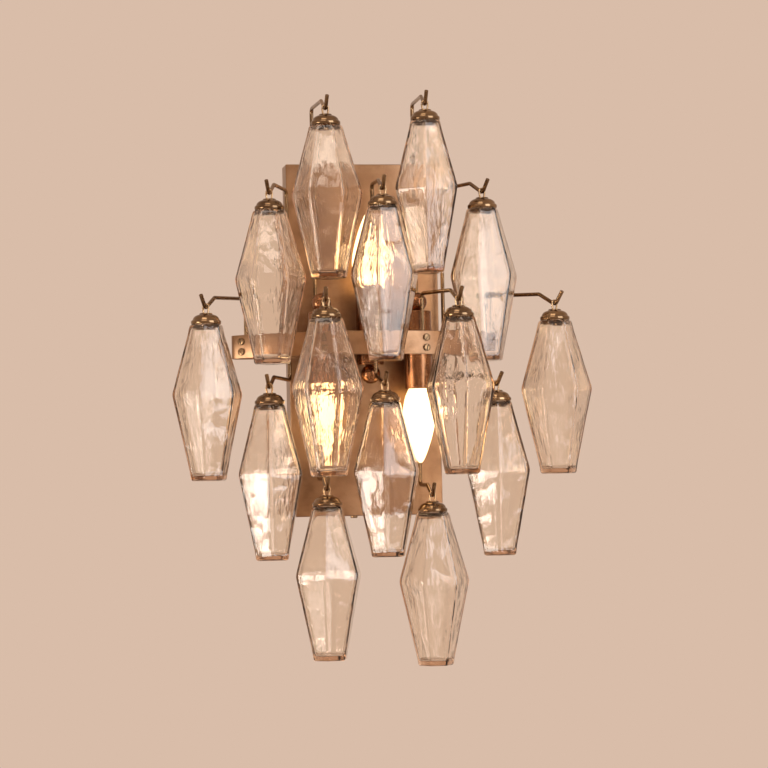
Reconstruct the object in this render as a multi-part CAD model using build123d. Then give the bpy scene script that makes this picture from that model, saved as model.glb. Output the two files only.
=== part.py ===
"""Crystal wall sconce.

A flat brass band, bowed out from a shallow wall box, carries nine bent brass rods. The rods end
in fourteen hooks, and a hollow six-sided glass drop swings on each of them by a wire loop. Three
candle lamps stand behind the band, one pointing up and two pointing down.

Millimetres. +X is to the right, +Z is up and the wall is the plane Y = 0. The sconce stands out
from the wall towards -Y, so a "depth" below is a distance from the wall, at Y = -depth.
"""
import os
from math import asin, atan2, cos, degrees, hypot, radians, sin, sqrt, tan
from typing import NamedTuple

from build123d import *

# ---------------------------------------------------------------- wall box and strap
BOX_WIDTH = 158.0
BOX_HEIGHT = 366.0
BOX_DEPTH = 27.0
BOX_SHEET = 1.5
BOX_EDGE = 0.8            # bevel of the folded edges
SEAT_GAP = 0.3            # running clearance between pieces that slide together
CUT_PAST = 1.0            # how far a cut runs on past the faces that it opens

STRAP_WIDTH = 40.0
STRAP_SHEET = 2.0
STRAP_TAB = 15.0          # how far the turned ends of the strap stand out from the wall
WALL_HOLE_SPACING = 120.0
WALL_HOLE_RADIUS = 2.6
CABLE_HOLE_RADIUS = 12.0
CABLE_HOLE_HEIGHT = 30.0
COVER_SCREW_DEPTH = 9.0
COVER_SCREW_SPACING = 24.0
COVER_SCREW_LENGTH = 6.0

# ---------------------------------------------------------------- band
BAND_HEIGHT = 24.0
BAND_SHEET = 2.5
BAND_MIDDLE = -8.0        # height of the band's centre line
BAND_REACH = 102.0        # depth of the front of the bow
BAND_BOW_RADIUS = 200.0
BAND_END_RADIUS = 8.0
BAND_STANDOFF = 6.0       # spacer between box and band
END_TO_OUTER_ROD = 6.4    # from the centre of a round end inwards to the outer rod
END_TO_SIDE_ROD = 51.4
SPACER_RADIUS = 5.0
FIXING_SPACING = 50.0     # between the two screws that hold band and lamp bar

# ---------------------------------------------------------------- screws
M4_RADIUS = 2.0
M4_HEAD_RADIUS = 3.8
M4_HEAD_HEIGHT = 2.2
M4_NUT_ACROSS = 7.0
M4_NUT_HEIGHT = 3.2
M3_RADIUS = 1.5
M3_HEAD_RADIUS = 2.7
M3_HEAD_HEIGHT = 1.6
SCREW_PLAY = 0.2          # clearance hole round a screw
SHANK_SIDES = 8           # small round things are drawn with flats to keep the model light
HEAD_SIDES = 12
BEND_CHORD = 30           # a bend is drawn in chords of about this many degrees

# ---------------------------------------------------------------- lamps
LAMP_SPACING = 50.0       # sideways from the middle lamp to each outer one
LAMP_BAR_STANDOFF = 10.0
LAMP_BAR_SHEET = 2.5
LAMP_BAR_HEIGHT = 14.0
LAMP_BAR_OVERHANG = 10.0
SLEEVE_RADIUS = 14.0
SLEEVE_WALL = 1.2
SLEEVE_LENGTH = 78.5
OUTER_REACH = 46.0        # from the band's centre line down to an outer sleeve's open end
CENTRE_REACH = 59.5       # and up to the open end of the middle one
BOSS_RADIUS = 3.6
BOSS_LENGTH = 3.0
FINIAL_RADIUS = 10.0
FINIAL_CENTRE = 11.0      # ball centre above the sleeve's end
FINIAL_FLANGE = 1.6
FINIAL_FLANGE_EDGE = 0.6
FINIAL_NECK_RADIUS = 5.0
FINIAL_STEPS = 6          # rings from the ball's pole to its neck
HOLDER_LENGTH = 30.0
HOLDER_RECESS = 1.0
HOLDER_SIDES = 16
LAMP_SIDES = 20           # balls and bulbs are round in truth and drawn with twenty flats
SOCKET_RADIUS = 7.15
SOCKET_DEPTH = 24.0
BASE_RADIUS = 6.9
BASE_LENGTH = 22.5
BULB_OUTLINE = (          # radius and distance beyond the sleeve's end
    (10.5, -1.0),
    (14.8, 9.0),
    (17.0, 25.0),
    (12.4, 50.0),
    (6.0, 68.0),
    (0.8, 76.0),
)
LEAD_RADIUS = 2.0
LEAD_SIDES = 6
LEAD_PLAY = 0.6
LEAD_HEIGHT = 9.0         # the leads pass over the band's top edge at this height
LEAD_BEND = 10.0
LEAD_BOX_DEPTH = 11.0
LEAD_INSET = 4.0          # an outer lead leaves its sleeve nearer the middle by this much
TERMINAL_WIDTH = 33.0
TERMINAL_HEIGHT = 18.0
TERMINAL_DEPTH = 14.0
TERMINAL_TOP = -28.0
TERMINAL_PITCH = 11.0
TERMINAL_EDGE = 1.0

# ---------------------------------------------------------------- rods and hooks
ROD_RADIUS = 2.0
ROD_SIDES = 8             # the round rods are drawn with eight flats
ROD_BEND = 6.0            # centre-line radius of the bends in a rod
HOOK_BEND = 5.0           # centre-line radius at the bottom of a hook
HOOK_FALL = 27.0          # slope of the rod down into the hook, degrees
HOOK_RUN = 23.0           # from the crest to the bottom of the hook, along the arm
TIP_SLOPE = 50.0          # slope of the upturned tip, degrees
TIP_RUN = 12.0
BLOCK_WIDTH = 14.0
BLOCK_HEIGHT = 20.0
BLOCK_DEPTH = 5.0
BLOCK_EDGE = 1.5
ROD_GROOVE = 1.0          # how deep the rod lies in the back of its block
OUTER_ARM = 51.0          # how far an outer hook hangs beyond its rod, sideways
ROD_SCREW_PITCH = 10.5
ROD_SCREW_LENGTH = 5.5

# ---------------------------------------------------------------- glass drops
WIRE_RADIUS = 1.1
LOOP_PLAY = 0.6           # between the rod and the loop, which swings round the bend of the hook
LOOP_SIDES = 8
CAP_SIDES = 12            # the round caps are drawn with twelve flats
CAP_TOP = 5.8             # from the rod's centre down to the top of the cap
CAP_OUTLINE = (           # radius and distance below the cap's top, down to its rim
    (6.2, 0.0),
    (11.8, 3.4),
    (15.0, 8.2),
    (15.0, 11.2),
)
STEM_WIDTH = 4.0
TOGGLE_LENGTH = 19.0
TOGGLE_HEIGHT = 2.0
MOUTH_RADIUS = 8.0        # six-sided opening in the top of the glass
GLASS_WALL = 2.4
GLASS_LENGTH = 155.0      # below the cap's rim
GLASS_TOP = 3.3           # thickness of the glass round its mouth
GLASS_FLOOR = 5.0
GLASS_OUTLINE = (         # radius over the six corners and distance below the cap's rim
    (15.2, 0.0),
    (17.6, 3.0),
    (36.7, 69.5),
    (18.4, 153.4),
    (16.8, 155.0),
)


class Hook(NamedTuple):
    """One hanging place: the bottom of a hook, the glass on it and how the arm comes to it."""

    number: int
    x: float
    depth: float
    height: float         # of the rod's centre line at the bottom of the hook
    turn: float           # of one corner of the glass, degrees right of straight ahead
    fall: float = 0.0     # how much the arm drops from its riser to its crest
    crest: bool = True    # False where the arm runs straight down into the hook


class Rod(NamedTuple):
    """One bent rod, the place of its block on the band and its one or two hooks."""

    name: str
    x: float
    on_bow: bool          # True on the bowed front of the band, False on its straight back
    hooks: tuple


# ---------------------------------------------------------------- places that follow from the sizes
BOX_FACE = BOX_DEPTH
BAND_BACK = BOX_FACE + BAND_STANDOFF
BAND_BACK_INNER = BAND_BACK + BAND_SHEET
BAND_BOTTOM = BAND_MIDDLE - BAND_HEIGHT / 2
BOW_CENTRE = BAND_REACH - BAND_BOW_RADIUS
# The centre of the band's round end, which touches both the bow and the straight back.
END_DEPTH = BAND_BACK + BAND_END_RADIUS
END_X = sqrt((BAND_BOW_RADIUS - BAND_END_RADIUS) ** 2 - (END_DEPTH - BOW_CENTRE) ** 2)
OUTER_ROD = END_X - END_TO_OUTER_ROD
SIDE_ROD = END_X - END_TO_SIDE_ROD
OUTER_HOOK = OUTER_ROD + OUTER_ARM
LAMP_BAR_BACK = BAND_BACK_INNER + LAMP_BAR_STANDOFF
LAMP_BAR_FRONT = LAMP_BAR_BACK + LAMP_BAR_SHEET
LAMP_DEPTH = LAMP_BAR_FRONT + SLEEVE_RADIUS
SLEEVE_BORE = SLEEVE_RADIUS - SLEEVE_WALL
STRAP_HALF_HEIGHT = BOX_HEIGHT / 2 - BOX_SHEET - SEAT_GAP
CAP_RIM = CAP_TOP + CAP_OUTLINE[-1][1]
LAMPS = {"left": (-LAMP_SPACING, False), "centre": (0.0, True), "right": (LAMP_SPACING, False)}

RODS = (
    Rod("rod_inner_left", -53, False, (Hook(1, -51, 124, 227, 20), Hook(13, -54, 102, -156, -14))),
    Rod("rod_inner_right", 53, False, (Hook(2, 51, 124, 232, -11), Hook(14, 54, 102, -164, -30))),
    Rod("rod_side_left", -SIDE_ROD, False, (Hook(3, -109, 119, 142, 20), Hook(10, -115, 138, -54, -10))),
    Rod("rod_side_right", SIDE_ROD, False, (Hook(5, 109, 119, 143, -22), Hook(12, 115, 138, -54, -10))),
    Rod("rod_centre", 0, True, (Hook(4, 0, 157, 142, -19), Hook(11, 0, 146, -53, -15, crest=False))),
    Rod("rod_outer_left", -OUTER_ROD, True, (Hook(6, -OUTER_HOOK, 139, 26, -20, fall=4),)),
    Rod("rod_outer_right", OUTER_ROD, True, (Hook(9, OUTER_HOOK, 139, 27, 24, fall=4),)),
    Rod("rod_front_left", -50.6, True, (Hook(7, -66, 200, 27, 13, fall=4),)),
    Rod("rod_front_right", 50.6, True, (Hook(8, 66, 200, 27, -1, fall=4),)),
)


# ---------------------------------------------------------------- small helpers
def slab(left, right, near, far, low, high):
    """Rectangular solid between two sides, two depths and two heights."""
    middle = Pos((left + right) / 2, -(near + far) / 2, (low + high) / 2)
    return middle * Box(right - left, far - near, high - low)


def peg(x, z, radius, near, far):
    """Round solid that stands straight out from the wall, between two depths."""
    return Pos(x, -(near + far) / 2, z) * Rot(90, 0, 0) * Cylinder(radius, far - near)


def prism(radius, low, high, sides=SHANK_SIDES):
    """Upright prism whose flats lie at the radius."""
    return Pos(0, 0, low) * extrude(RegularPolygon(radius, sides, major_radius=False), high - low)


def ring_corners(radius, height, sides, turn=0.0):
    """Corners of a regular polygon that lies level; the radius is over its corners."""
    angles = [radians(turn + 360 * k / sides) for k in range(sides)]
    return [Vector(radius * cos(a), radius * sin(a), height) for a in angles]


def skinned(loops):
    """Solid with flat faces through closed loops of points, and flat over both ends."""
    faces = [Face(Wire.make_polygon(loops[0])), Face(Wire.make_polygon(loops[-1]))]
    for lower, upper in zip(loops, loops[1:]):
        for k in range(len(lower)):
            follows = (k + 1) % len(lower)
            corners = [lower[k], lower[follows], upper[follows], upper[k]]
            faces.append(Face(Wire.make_polygon(corners)))
    return Solid(Shell(faces))


def stack(sides, turn, rings):
    """Upright solid with flat sides through (radius over corners, height) rings."""
    return skinned([ring_corners(radius, height, sides, turn) for radius, height in rings])


def screw_hole(x, z, radius, near, far):
    """Small hole straight out from the wall, between two depths."""
    return Pos(x, -near, z) * Rot(90, 0, 0) * prism(radius, 0, far - near)


def pan_screw(radius, head_radius, head_height, length):
    """Pan-head screw: the head's underside is on Z = 0 and the shank points down."""
    return prism(radius, -length, 0) + prism(head_radius, 0, head_height, HEAD_SIDES)


def bent_points(corners, radii):
    """Points along a line whose corners are bent to the radii, in short chords."""
    points = [corners[0]]
    for before, corner, after, bend in zip(corners, corners[1:], corners[2:], radii):
        ahead, onward = (corner - before).normalized(), (after - corner).normalized()
        angle = ahead.get_angle(onward)
        start = corner - ahead * bend * tan(radians(angle) / 2)
        normal = ahead.cross(onward).normalized()
        centre = start + normal.cross(ahead) * bend
        chords = max(1, round(angle / BEND_CHORD))
        for step in range(chords + 1):
            spoke = (start - centre).rotate(Axis((0, 0, 0), normal), angle * step / chords)
            points.append(centre + spoke)
    return points + [corners[-1]]


def bar_along(corners, radii, radius, sides, sideways):
    """Bar of constant section, mitred along a bent line that lies in one plane.

    Sideways is the direction square to that plane.
    """
    points = bent_points(corners, radii)
    headings = [(after - before).normalized() for before, after in zip(points, points[1:])]
    headings = [headings[0]] + headings + [headings[-1]]
    over_corners = radius / cos(radians(180 / sides))
    section = ring_corners(over_corners, 0, sides, 180 / sides)
    loops = []
    for point, before, after in zip(points, headings, headings[1:]):
        square = before.cross(sideways) + after.cross(sideways)
        square *= 1 / (1 + before.dot(after))
        loops.append([point + sideways * spot.X + square * spot.Y for spot in section])
    return skinned(loops)


def out_of_wall(x, depth, z, towards_wall=False):
    """Place that turns local +Z to point away from the wall, or towards it."""
    return Pos(x, -depth, z) * Rot(-90 if towards_wall else 90, 0, 0)


# ---------------------------------------------------------------- wall box
def back_box():
    """Folded sheet box, open towards the wall."""
    half_width, half_height = BOX_WIDTH / 2, BOX_HEIGHT / 2
    shell = slab(-half_width, half_width, 0, BOX_DEPTH, -half_height, half_height)
    front_edges = shell.faces().sort_by(Axis.Y)[0].edges()
    shell = chamfer(front_edges, BOX_EDGE)
    inner_width, inner_height = half_width - BOX_SHEET, half_height - BOX_SHEET
    shell -= slab(-inner_width, inner_width, 0, BOX_DEPTH - BOX_SHEET, -inner_height, inner_height)
    inside = BOX_DEPTH - BOX_SHEET
    for x in fixing_places():
        shell -= screw_hole(x, BAND_MIDDLE, M4_RADIUS + SCREW_PLAY, inside, BOX_DEPTH)
    for x in lead_places():
        shell -= screw_hole(x, LEAD_HEIGHT, LEAD_RADIUS + LEAD_PLAY, inside, BOX_DEPTH)
    for x in cover_screw_places():
        hole = prism(M4_RADIUS + SCREW_PLAY, -half_height, -inner_height)
        shell -= Pos(x, -COVER_SCREW_DEPTH, 0) * hole
    return shell


def fixing_places():
    return (-FIXING_SPACING / 2, FIXING_SPACING / 2)


def cover_screw_places():
    return (-COVER_SCREW_SPACING / 2, COVER_SCREW_SPACING / 2)


def lead_places():
    """Sideways place of each lead: the outer two keep clear of the rods behind their sleeves."""
    return (-LAMP_SPACING + LEAD_INSET, 0.0, LAMP_SPACING - LEAD_INSET)


def wall_bracket():
    """Strap that is screwed to the wall; the box slips over its turned ends."""
    half = STRAP_WIDTH / 2
    strap = slab(-half, half, 0, STRAP_TAB, -STRAP_HALF_HEIGHT, STRAP_HALF_HEIGHT)
    inner = STRAP_HALF_HEIGHT - STRAP_SHEET
    strap -= slab(-half, half, STRAP_SHEET, STRAP_TAB, -inner, inner)
    for z in (-WALL_HOLE_SPACING / 2, WALL_HOLE_SPACING / 2):
        strap -= peg(0, z, WALL_HOLE_RADIUS, 0, STRAP_SHEET)
    strap -= peg(0, CABLE_HOLE_HEIGHT, CABLE_HOLE_RADIUS, 0, STRAP_SHEET)
    for x in cover_screw_places():
        tapped = prism(M4_RADIUS, -STRAP_HALF_HEIGHT, -inner)
        strap -= Pos(x, -COVER_SCREW_DEPTH, 0) * tapped
    return strap


def cover_screws():
    """Two screws up through the bottom of the box into the strap."""
    screw = pan_screw(M4_RADIUS, M4_HEAD_RADIUS, M4_HEAD_HEIGHT, COVER_SCREW_LENGTH)
    turn = Rot(180, 0, 0)
    low = -BOX_HEIGHT / 2
    return [Pos(x, -COVER_SCREW_DEPTH, low) * turn * screw for x in cover_screw_places()]


def terminal_block():
    """Block on the strap where the three leads end."""
    half = TERMINAL_WIDTH / 2
    low = TERMINAL_TOP - TERMINAL_HEIGHT
    block = slab(-half, half, STRAP_SHEET, STRAP_SHEET + TERMINAL_DEPTH, low, TERMINAL_TOP)
    front_edges = block.faces().sort_by(Axis.Y)[0].edges()
    return chamfer(front_edges, TERMINAL_EDGE)


def terminal_places():
    return (-TERMINAL_PITCH, 0.0, TERMINAL_PITCH)


# ---------------------------------------------------------------- band
def band_face(inset):
    """Plan of the band's outer edge, drawn in by inset: a bow, two round ends, a straight back."""
    bow = BAND_BOW_RADIUS - inset
    end = BAND_END_RADIUS - inset
    back = BAND_BACK + inset
    lean = atan2(END_X, END_DEPTH - BOW_CENTRE)

    def plan(x, depth):
        return Vector(x, -depth, BAND_BOTTOM)

    meet_x = bow * sin(lean)
    meet_depth = BOW_CENTRE + bow * cos(lean)
    side = (lean + radians(180)) / 2
    side_x = END_X + end * sin(side)
    side_depth = END_DEPTH + end * cos(side)
    left, right = plan(-meet_x, meet_depth), plan(meet_x, meet_depth)
    outline = [
        ThreePointArc(left, plan(0, BOW_CENTRE + bow), right),
        ThreePointArc(right, plan(side_x, side_depth), plan(END_X, back)),
        Line(plan(END_X, back), plan(-END_X, back)),
        ThreePointArc(plan(-END_X, back), plan(-side_x, side_depth), left),
    ]
    return make_face(Wire(outline))


def band():
    """Closed loop of flat bar, drilled for the rods' screws and its own two fixings."""
    loop = extrude(band_face(0) - band_face(BAND_SHEET), BAND_HEIGHT, dir=(0, 0, 1))
    back, inner = BAND_BACK - CUT_PAST, BAND_BACK_INNER + CUT_PAST
    for x in fixing_places():
        loop -= screw_hole(x, BAND_MIDDLE, M4_RADIUS + SCREW_PLAY, back, inner)
    reach = BAND_SHEET * 1.5
    for rod in RODS:
        seat = rod_seat(rod)
        for rise in screw_rises():
            hole = Rot(90, 0, 0) * prism(M4_RADIUS + SCREW_PLAY, -reach, reach)
            loop -= seat.place * Pos(0, -(seat.outside - BAND_SHEET / 2), rise) * hole
    return loop


def spacer(x, near, far):
    """Six-sided spacer between two depths, bored for its screw."""
    body = prism(SPACER_RADIUS, 0, far - near, 6) - prism(M4_RADIUS + SCREW_PLAY, 0, far - near)
    return out_of_wall(x, near, BAND_MIDDLE) * body


def spacers():
    """A short and a long spacer on each fixing, behind and in front of the band's back."""
    pieces = [spacer(x, BOX_FACE, BAND_BACK) for x in fixing_places()]
    return pieces + [spacer(x, BAND_BACK_INNER, LAMP_BAR_BACK) for x in fixing_places()]


def band_screws():
    """Long screws from the lamp bar back into the box."""
    length = LAMP_BAR_FRONT - (BOX_FACE - BOX_SHEET - M4_NUT_HEIGHT)
    screw = pan_screw(M4_RADIUS, M4_HEAD_RADIUS, M4_HEAD_HEIGHT, length)
    return [out_of_wall(x, LAMP_BAR_FRONT, BAND_MIDDLE) * screw for x in fixing_places()]


def band_nuts():
    """Hexagon nuts inside the box."""
    back = BOX_FACE - BOX_SHEET - M4_NUT_HEIGHT
    nut = prism(M4_NUT_ACROSS / 2, 0, M4_NUT_HEIGHT, 6) - prism(M4_RADIUS, 0, M4_NUT_HEIGHT)
    return [out_of_wall(x, back, BAND_MIDDLE) * nut for x in fixing_places()]


# ---------------------------------------------------------------- rods
class Seat(NamedTuple):
    """Where a rod's block sits: its place turns local -Y to the outside of the band."""

    place: Location
    x: float
    depth: float
    outside: float        # from the rod's centre line to the outer face of the band


def rod_seat(rod):
    rod_to_band = BLOCK_DEPTH + ROD_RADIUS - ROD_GROOVE
    if not rod.on_bow:
        depth = BAND_BACK_INNER + rod_to_band
        place = Pos(rod.x, -depth, BAND_MIDDLE) * Rot(0, 0, 180)
        return Seat(place, rod.x, depth, rod_to_band + BAND_SHEET)
    # The flat face of the block bears on the hollow side of the bow with its two edges.
    inner = BAND_BOW_RADIUS - BAND_SHEET
    radius = sqrt(inner**2 - (BLOCK_WIDTH / 2) ** 2) - rod_to_band
    angle = asin(rod.x / radius)
    depth = BOW_CENTRE + radius * cos(angle)
    place = Pos(rod.x, -depth, BAND_MIDDLE) * Rot(0, 0, degrees(angle))
    return Seat(place, rod.x, depth, BAND_BOW_RADIUS - radius)


def screw_rises():
    return (-ROD_SCREW_PITCH / 2, ROD_SCREW_PITCH / 2)


def arm_heading(seat, hook):
    """Unit direction, in plan, from the rod's riser to a hook."""
    across, out = hook.x - seat.x, hook.depth - seat.depth
    reach = hypot(across, out)
    return across / reach, out / reach, reach


def hook_corners(seat, hook):
    """Corners of the rod's centre line from the riser's bend to the tip of the hook."""
    across, out, reach = arm_heading(seat, hook)

    def spot(run, height):
        return Vector(seat.x + across * run, -(seat.depth + out * run), height)

    rise = radians(TIP_SLOPE)
    riser_height = hook.height + HOOK_RUN * tan(radians(HOOK_FALL)) + hook.fall
    fall = radians(HOOK_FALL)
    if not hook.crest:
        fall = atan2(riser_height - hook.height, reach)
    # The bottom bend touches its lowest point straight under its own centre.
    reach_to_corner = HOOK_BEND / cos((fall + rise) / 2)
    lean = (rise - fall) / 2
    corner_run = reach + reach_to_corner * sin(lean)
    corner_height = hook.height + HOOK_BEND - reach_to_corner * cos(lean)
    corners = [spot(0, riser_height)]
    if hook.crest:
        back = corner_run - (reach - HOOK_RUN)
        corners.append(spot(reach - HOOK_RUN, corner_height + back * tan(fall)))
    corners.append(spot(corner_run, corner_height))
    tip_height = corner_height + (reach + TIP_RUN - corner_run) * tan(rise)
    corners.append(spot(reach + TIP_RUN, tip_height))
    return corners


def rod_half(seat, hook, low):
    """The rod from a height on its riser to the tip of one hook."""
    across, out, _ = arm_heading(seat, hook)
    corners = [Vector(seat.x, -seat.depth, low)] + hook_corners(seat, hook)
    radii = [ROD_BEND] * (len(corners) - 3) + [HOOK_BEND]
    return bar_along(corners, radii, ROD_RADIUS, ROD_SIDES, sideways=Vector(out, across, 0))


def bent_rod(rod):
    """Rod with one or two hooks, brazed into the groove of its block."""
    seat = rod_seat(rod)
    block = Box(BLOCK_WIDTH, BLOCK_DEPTH, BLOCK_HEIGHT)
    block = chamfer(block.edges().filter_by(Axis.Y), BLOCK_EDGE)
    for rise in screw_rises():
        reach = BLOCK_DEPTH / 2
        block -= Pos(0, 0, rise) * Rot(90, 0, 0) * prism(M4_RADIUS, -reach, reach)
    offset = ROD_RADIUS - ROD_GROOVE + BLOCK_DEPTH / 2
    piece = seat.place * Pos(0, -offset, 0) * block
    foot = BAND_MIDDLE if len(rod.hooks) == 2 else BAND_MIDDLE - BLOCK_HEIGHT / 2
    for hook in rod.hooks:
        piece += rod_half(seat, hook, foot)
    return piece


def rod_screws():
    """Two screws through the band into each rod's block."""
    screw = pan_screw(M4_RADIUS, M4_HEAD_RADIUS, M4_HEAD_HEIGHT, ROD_SCREW_LENGTH)
    screws = []
    for rod in RODS:
        seat = rod_seat(rod)
        for rise in screw_rises():
            screws.append(seat.place * Pos(0, -seat.outside, rise) * Rot(90, 0, 0) * screw)
    return screws


# ---------------------------------------------------------------- lamps
def lamp_place(name):
    """Lamp's own frame: Z = 0 is the sleeve's finial end and local +Z runs towards its bulb."""
    x, upward = LAMPS[name]
    if upward:
        return Pos(x, -LAMP_DEPTH, BAND_MIDDLE + CENTRE_REACH - SLEEVE_LENGTH)
    return Pos(x, -LAMP_DEPTH, BAND_MIDDLE - OUTER_REACH + SLEEVE_LENGTH) * Rot(180, 0, 0)


def lamp_bar():
    """Flat bar across the backs of the three sleeves."""
    half = LAMP_SPACING + LAMP_BAR_OVERHANG
    low, high = BAND_MIDDLE - LAMP_BAR_HEIGHT / 2, BAND_MIDDLE + LAMP_BAR_HEIGHT / 2
    bar = slab(-half, half, LAMP_BAR_BACK, LAMP_BAR_FRONT, low, high)
    bar = chamfer(bar.edges().filter_by(Axis.Y), LAMP_BAR_HEIGHT / 3)
    for x in fixing_places():
        bar -= screw_hole(x, BAND_MIDDLE, M4_RADIUS + SCREW_PLAY, LAMP_BAR_BACK, LAMP_BAR_FRONT)
    for x, _ in LAMPS.values():
        bar -= screw_hole(x, BAND_MIDDLE, M3_RADIUS + SCREW_PLAY, LAMP_BAR_BACK, LAMP_BAR_FRONT)
    return bar


def sleeve(name):
    """Lamp tube with a tapped boss for its screw and a hole for its lead."""
    x, _ = LAMPS[name]
    upright = (Align.CENTER, Align.CENTER, Align.MIN)
    tube = Cylinder(SLEEVE_RADIUS, SLEEVE_LENGTH, align=upright)
    tube -= Cylinder(SLEEVE_BORE, SLEEVE_LENGTH, align=upright)
    tube = lamp_place(name) * tube
    boss_start = LAMP_BAR_FRONT + SLEEVE_WALL / 2
    boss_end = LAMP_BAR_FRONT + SLEEVE_WALL + BOSS_LENGTH
    tube += screw_hole(x, BAND_MIDDLE, BOSS_RADIUS, boss_start, boss_end)
    tube -= screw_hole(x, BAND_MIDDLE, M3_RADIUS, LAMP_BAR_FRONT - CUT_PAST, boss_end)
    lead_x = dict(zip(LAMPS, lead_places()))[name]
    start, end = LAMP_BAR_FRONT - CUT_PAST, LAMP_DEPTH - LEAD_RADIUS
    return tube - screw_hole(lead_x, LEAD_HEIGHT, LEAD_RADIUS + LEAD_PLAY, start, end)


def sleeve_screws():
    """Screws from behind the lamp bar into the sleeves."""
    length = LAMP_BAR_SHEET + SLEEVE_WALL + BOSS_LENGTH
    screw = pan_screw(M3_RADIUS, M3_HEAD_RADIUS, M3_HEAD_HEIGHT, length)
    return [
        out_of_wall(x, LAMP_BAR_BACK, BAND_MIDDLE, towards_wall=True) * screw
        for x, _ in LAMPS.values()
    ]


def ball_finial():
    """Turned ball on a flange that closes the back end of a sleeve."""
    neck_angle = asin(FINIAL_NECK_RADIUS / FINIAL_RADIUS)
    rings = []
    for step in range(FINIAL_STEPS):
        angle = radians(180) - (radians(180) - neck_angle) * (step + 0.5) / (FINIAL_STEPS + 0.5)
        rings.append((FINIAL_RADIUS * sin(angle), -FINIAL_CENTRE + FINIAL_RADIUS * cos(angle)))
    ball = stack(LAMP_SIDES, 0, rings + [(FINIAL_NECK_RADIUS, -FINIAL_FLANGE)])
    edge = SLEEVE_RADIUS - FINIAL_FLANGE_EDGE
    return ball + stack(LAMP_SIDES, 0, [(edge, -FINIAL_FLANGE), (SLEEVE_RADIUS, 0)])


def ball_finials():
    return [lamp_place(name) * ball_finial() for name in LAMPS]


def lampholders():
    """Screw socket just inside the open end of each sleeve."""
    top = SLEEVE_LENGTH - HOLDER_RECESS
    body = prism(SLEEVE_BORE - SEAT_GAP, top - HOLDER_LENGTH, top, HOLDER_SIDES)
    body -= prism(SOCKET_RADIUS, top - SOCKET_DEPTH, top, HOLDER_SIDES)
    return [lamp_place(name) * body for name in LAMPS]


def bulbs():
    """Candle bulbs; the envelope is closed and frosted, so it is left solid."""
    rings = [(radius, SLEEVE_LENGTH + beyond) for radius, beyond in BULB_OUTLINE]
    return [lamp_place(name) * stack(LAMP_SIDES, 0, rings) for name in LAMPS]


def bulb_bases():
    """Screw shells of the bulbs, down in their sockets."""
    top = SLEEVE_LENGTH - HOLDER_RECESS
    base = prism(BASE_RADIUS, top - BASE_LENGTH, top, HOLDER_SIDES)
    return [lamp_place(name) * base for name in LAMPS]


def lamp_leads():
    """Sleeved cable from each socket, over the band and through the box to the terminals."""
    leads = []
    for name, lead_x, pole in zip(LAMPS, lead_places(), terminal_places()):
        socket = lamp_place(name) * Pos(0, 0, SLEEVE_LENGTH - HOLDER_RECESS - HOLDER_LENGTH)
        corners = [
            Vector(lead_x, -LAMP_DEPTH, socket.position.Z),
            Vector(lead_x, -LAMP_DEPTH, LEAD_HEIGHT),
            Vector(lead_x, -LEAD_BOX_DEPTH, LEAD_HEIGHT),
        ]
        # Inside the box the lead turns down and slants across to its own pole.
        lead = bar_along(corners, [LEAD_BEND], LEAD_RADIUS, LEAD_SIDES, sideways=Vector(1, 0, 0))
        inside = Vector(lead_x, -LEAD_BOX_DEPTH, LEAD_HEIGHT)
        end = Vector(pole, -LEAD_BOX_DEPTH, TERMINAL_TOP)
        slant = (end - inside).normalized()
        foot = Plane(origin=inside, x_dir=(0, 1, 0), z_dir=slant)
        length = (end - inside).length + LEAD_RADIUS
        lead += extrude(foot * RegularPolygon(LEAD_RADIUS, LEAD_SIDES), length)
        leads.append(lead - terminal_block())
    return leads


# ---------------------------------------------------------------- glass drops
def glass_drop():
    """Hollow six-sided drop, open at the top; Z = 0 is the centre of the rod it hangs from."""
    corner_up = 30            # puts one corner towards local -Y
    rings = [(radius, -CAP_RIM - below) for radius, below in reversed(GLASS_OUTLINE)]
    outside = stack(6, corner_up, rings)
    corner_wall = GLASS_WALL / cos(radians(30))
    rim, belly = -CAP_RIM, GLASS_OUTLINE[2]
    shoulder, foot = GLASS_OUTLINE[1], GLASS_OUTLINE[3]
    ceiling = rim - GLASS_TOP
    slope = (belly[0] - foot[0]) / (foot[1] - belly[1])
    floor_below = GLASS_LENGTH - GLASS_FLOOR
    floor_radius = foot[0] + slope * (foot[1] - floor_below)
    inside = stack(
        6,
        corner_up,
        [
            (floor_radius - corner_wall, rim - floor_below),
            (belly[0] - corner_wall, rim - belly[1]),
            (shoulder[0] - corner_wall, ceiling),
        ],
    )
    mouth = Pos(0, 0, ceiling) * extrude(RegularPolygon(MOUTH_RADIUS, 6, rotation=corner_up), GLASS_TOP)
    return outside - inside - mouth


def loop_outline(radius):
    """Half-round top and straight legs of a drop's wire loop, seen from the front."""
    legs = CAP_TOP + WIRE_RADIUS
    arch = RegularPolygon(radius, LOOP_SIDES, major_radius=False, rotation=180 / LOOP_SIDES)
    return arch + Pos(0, -legs / 2) * Rectangle(radius * 2, legs)


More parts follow.
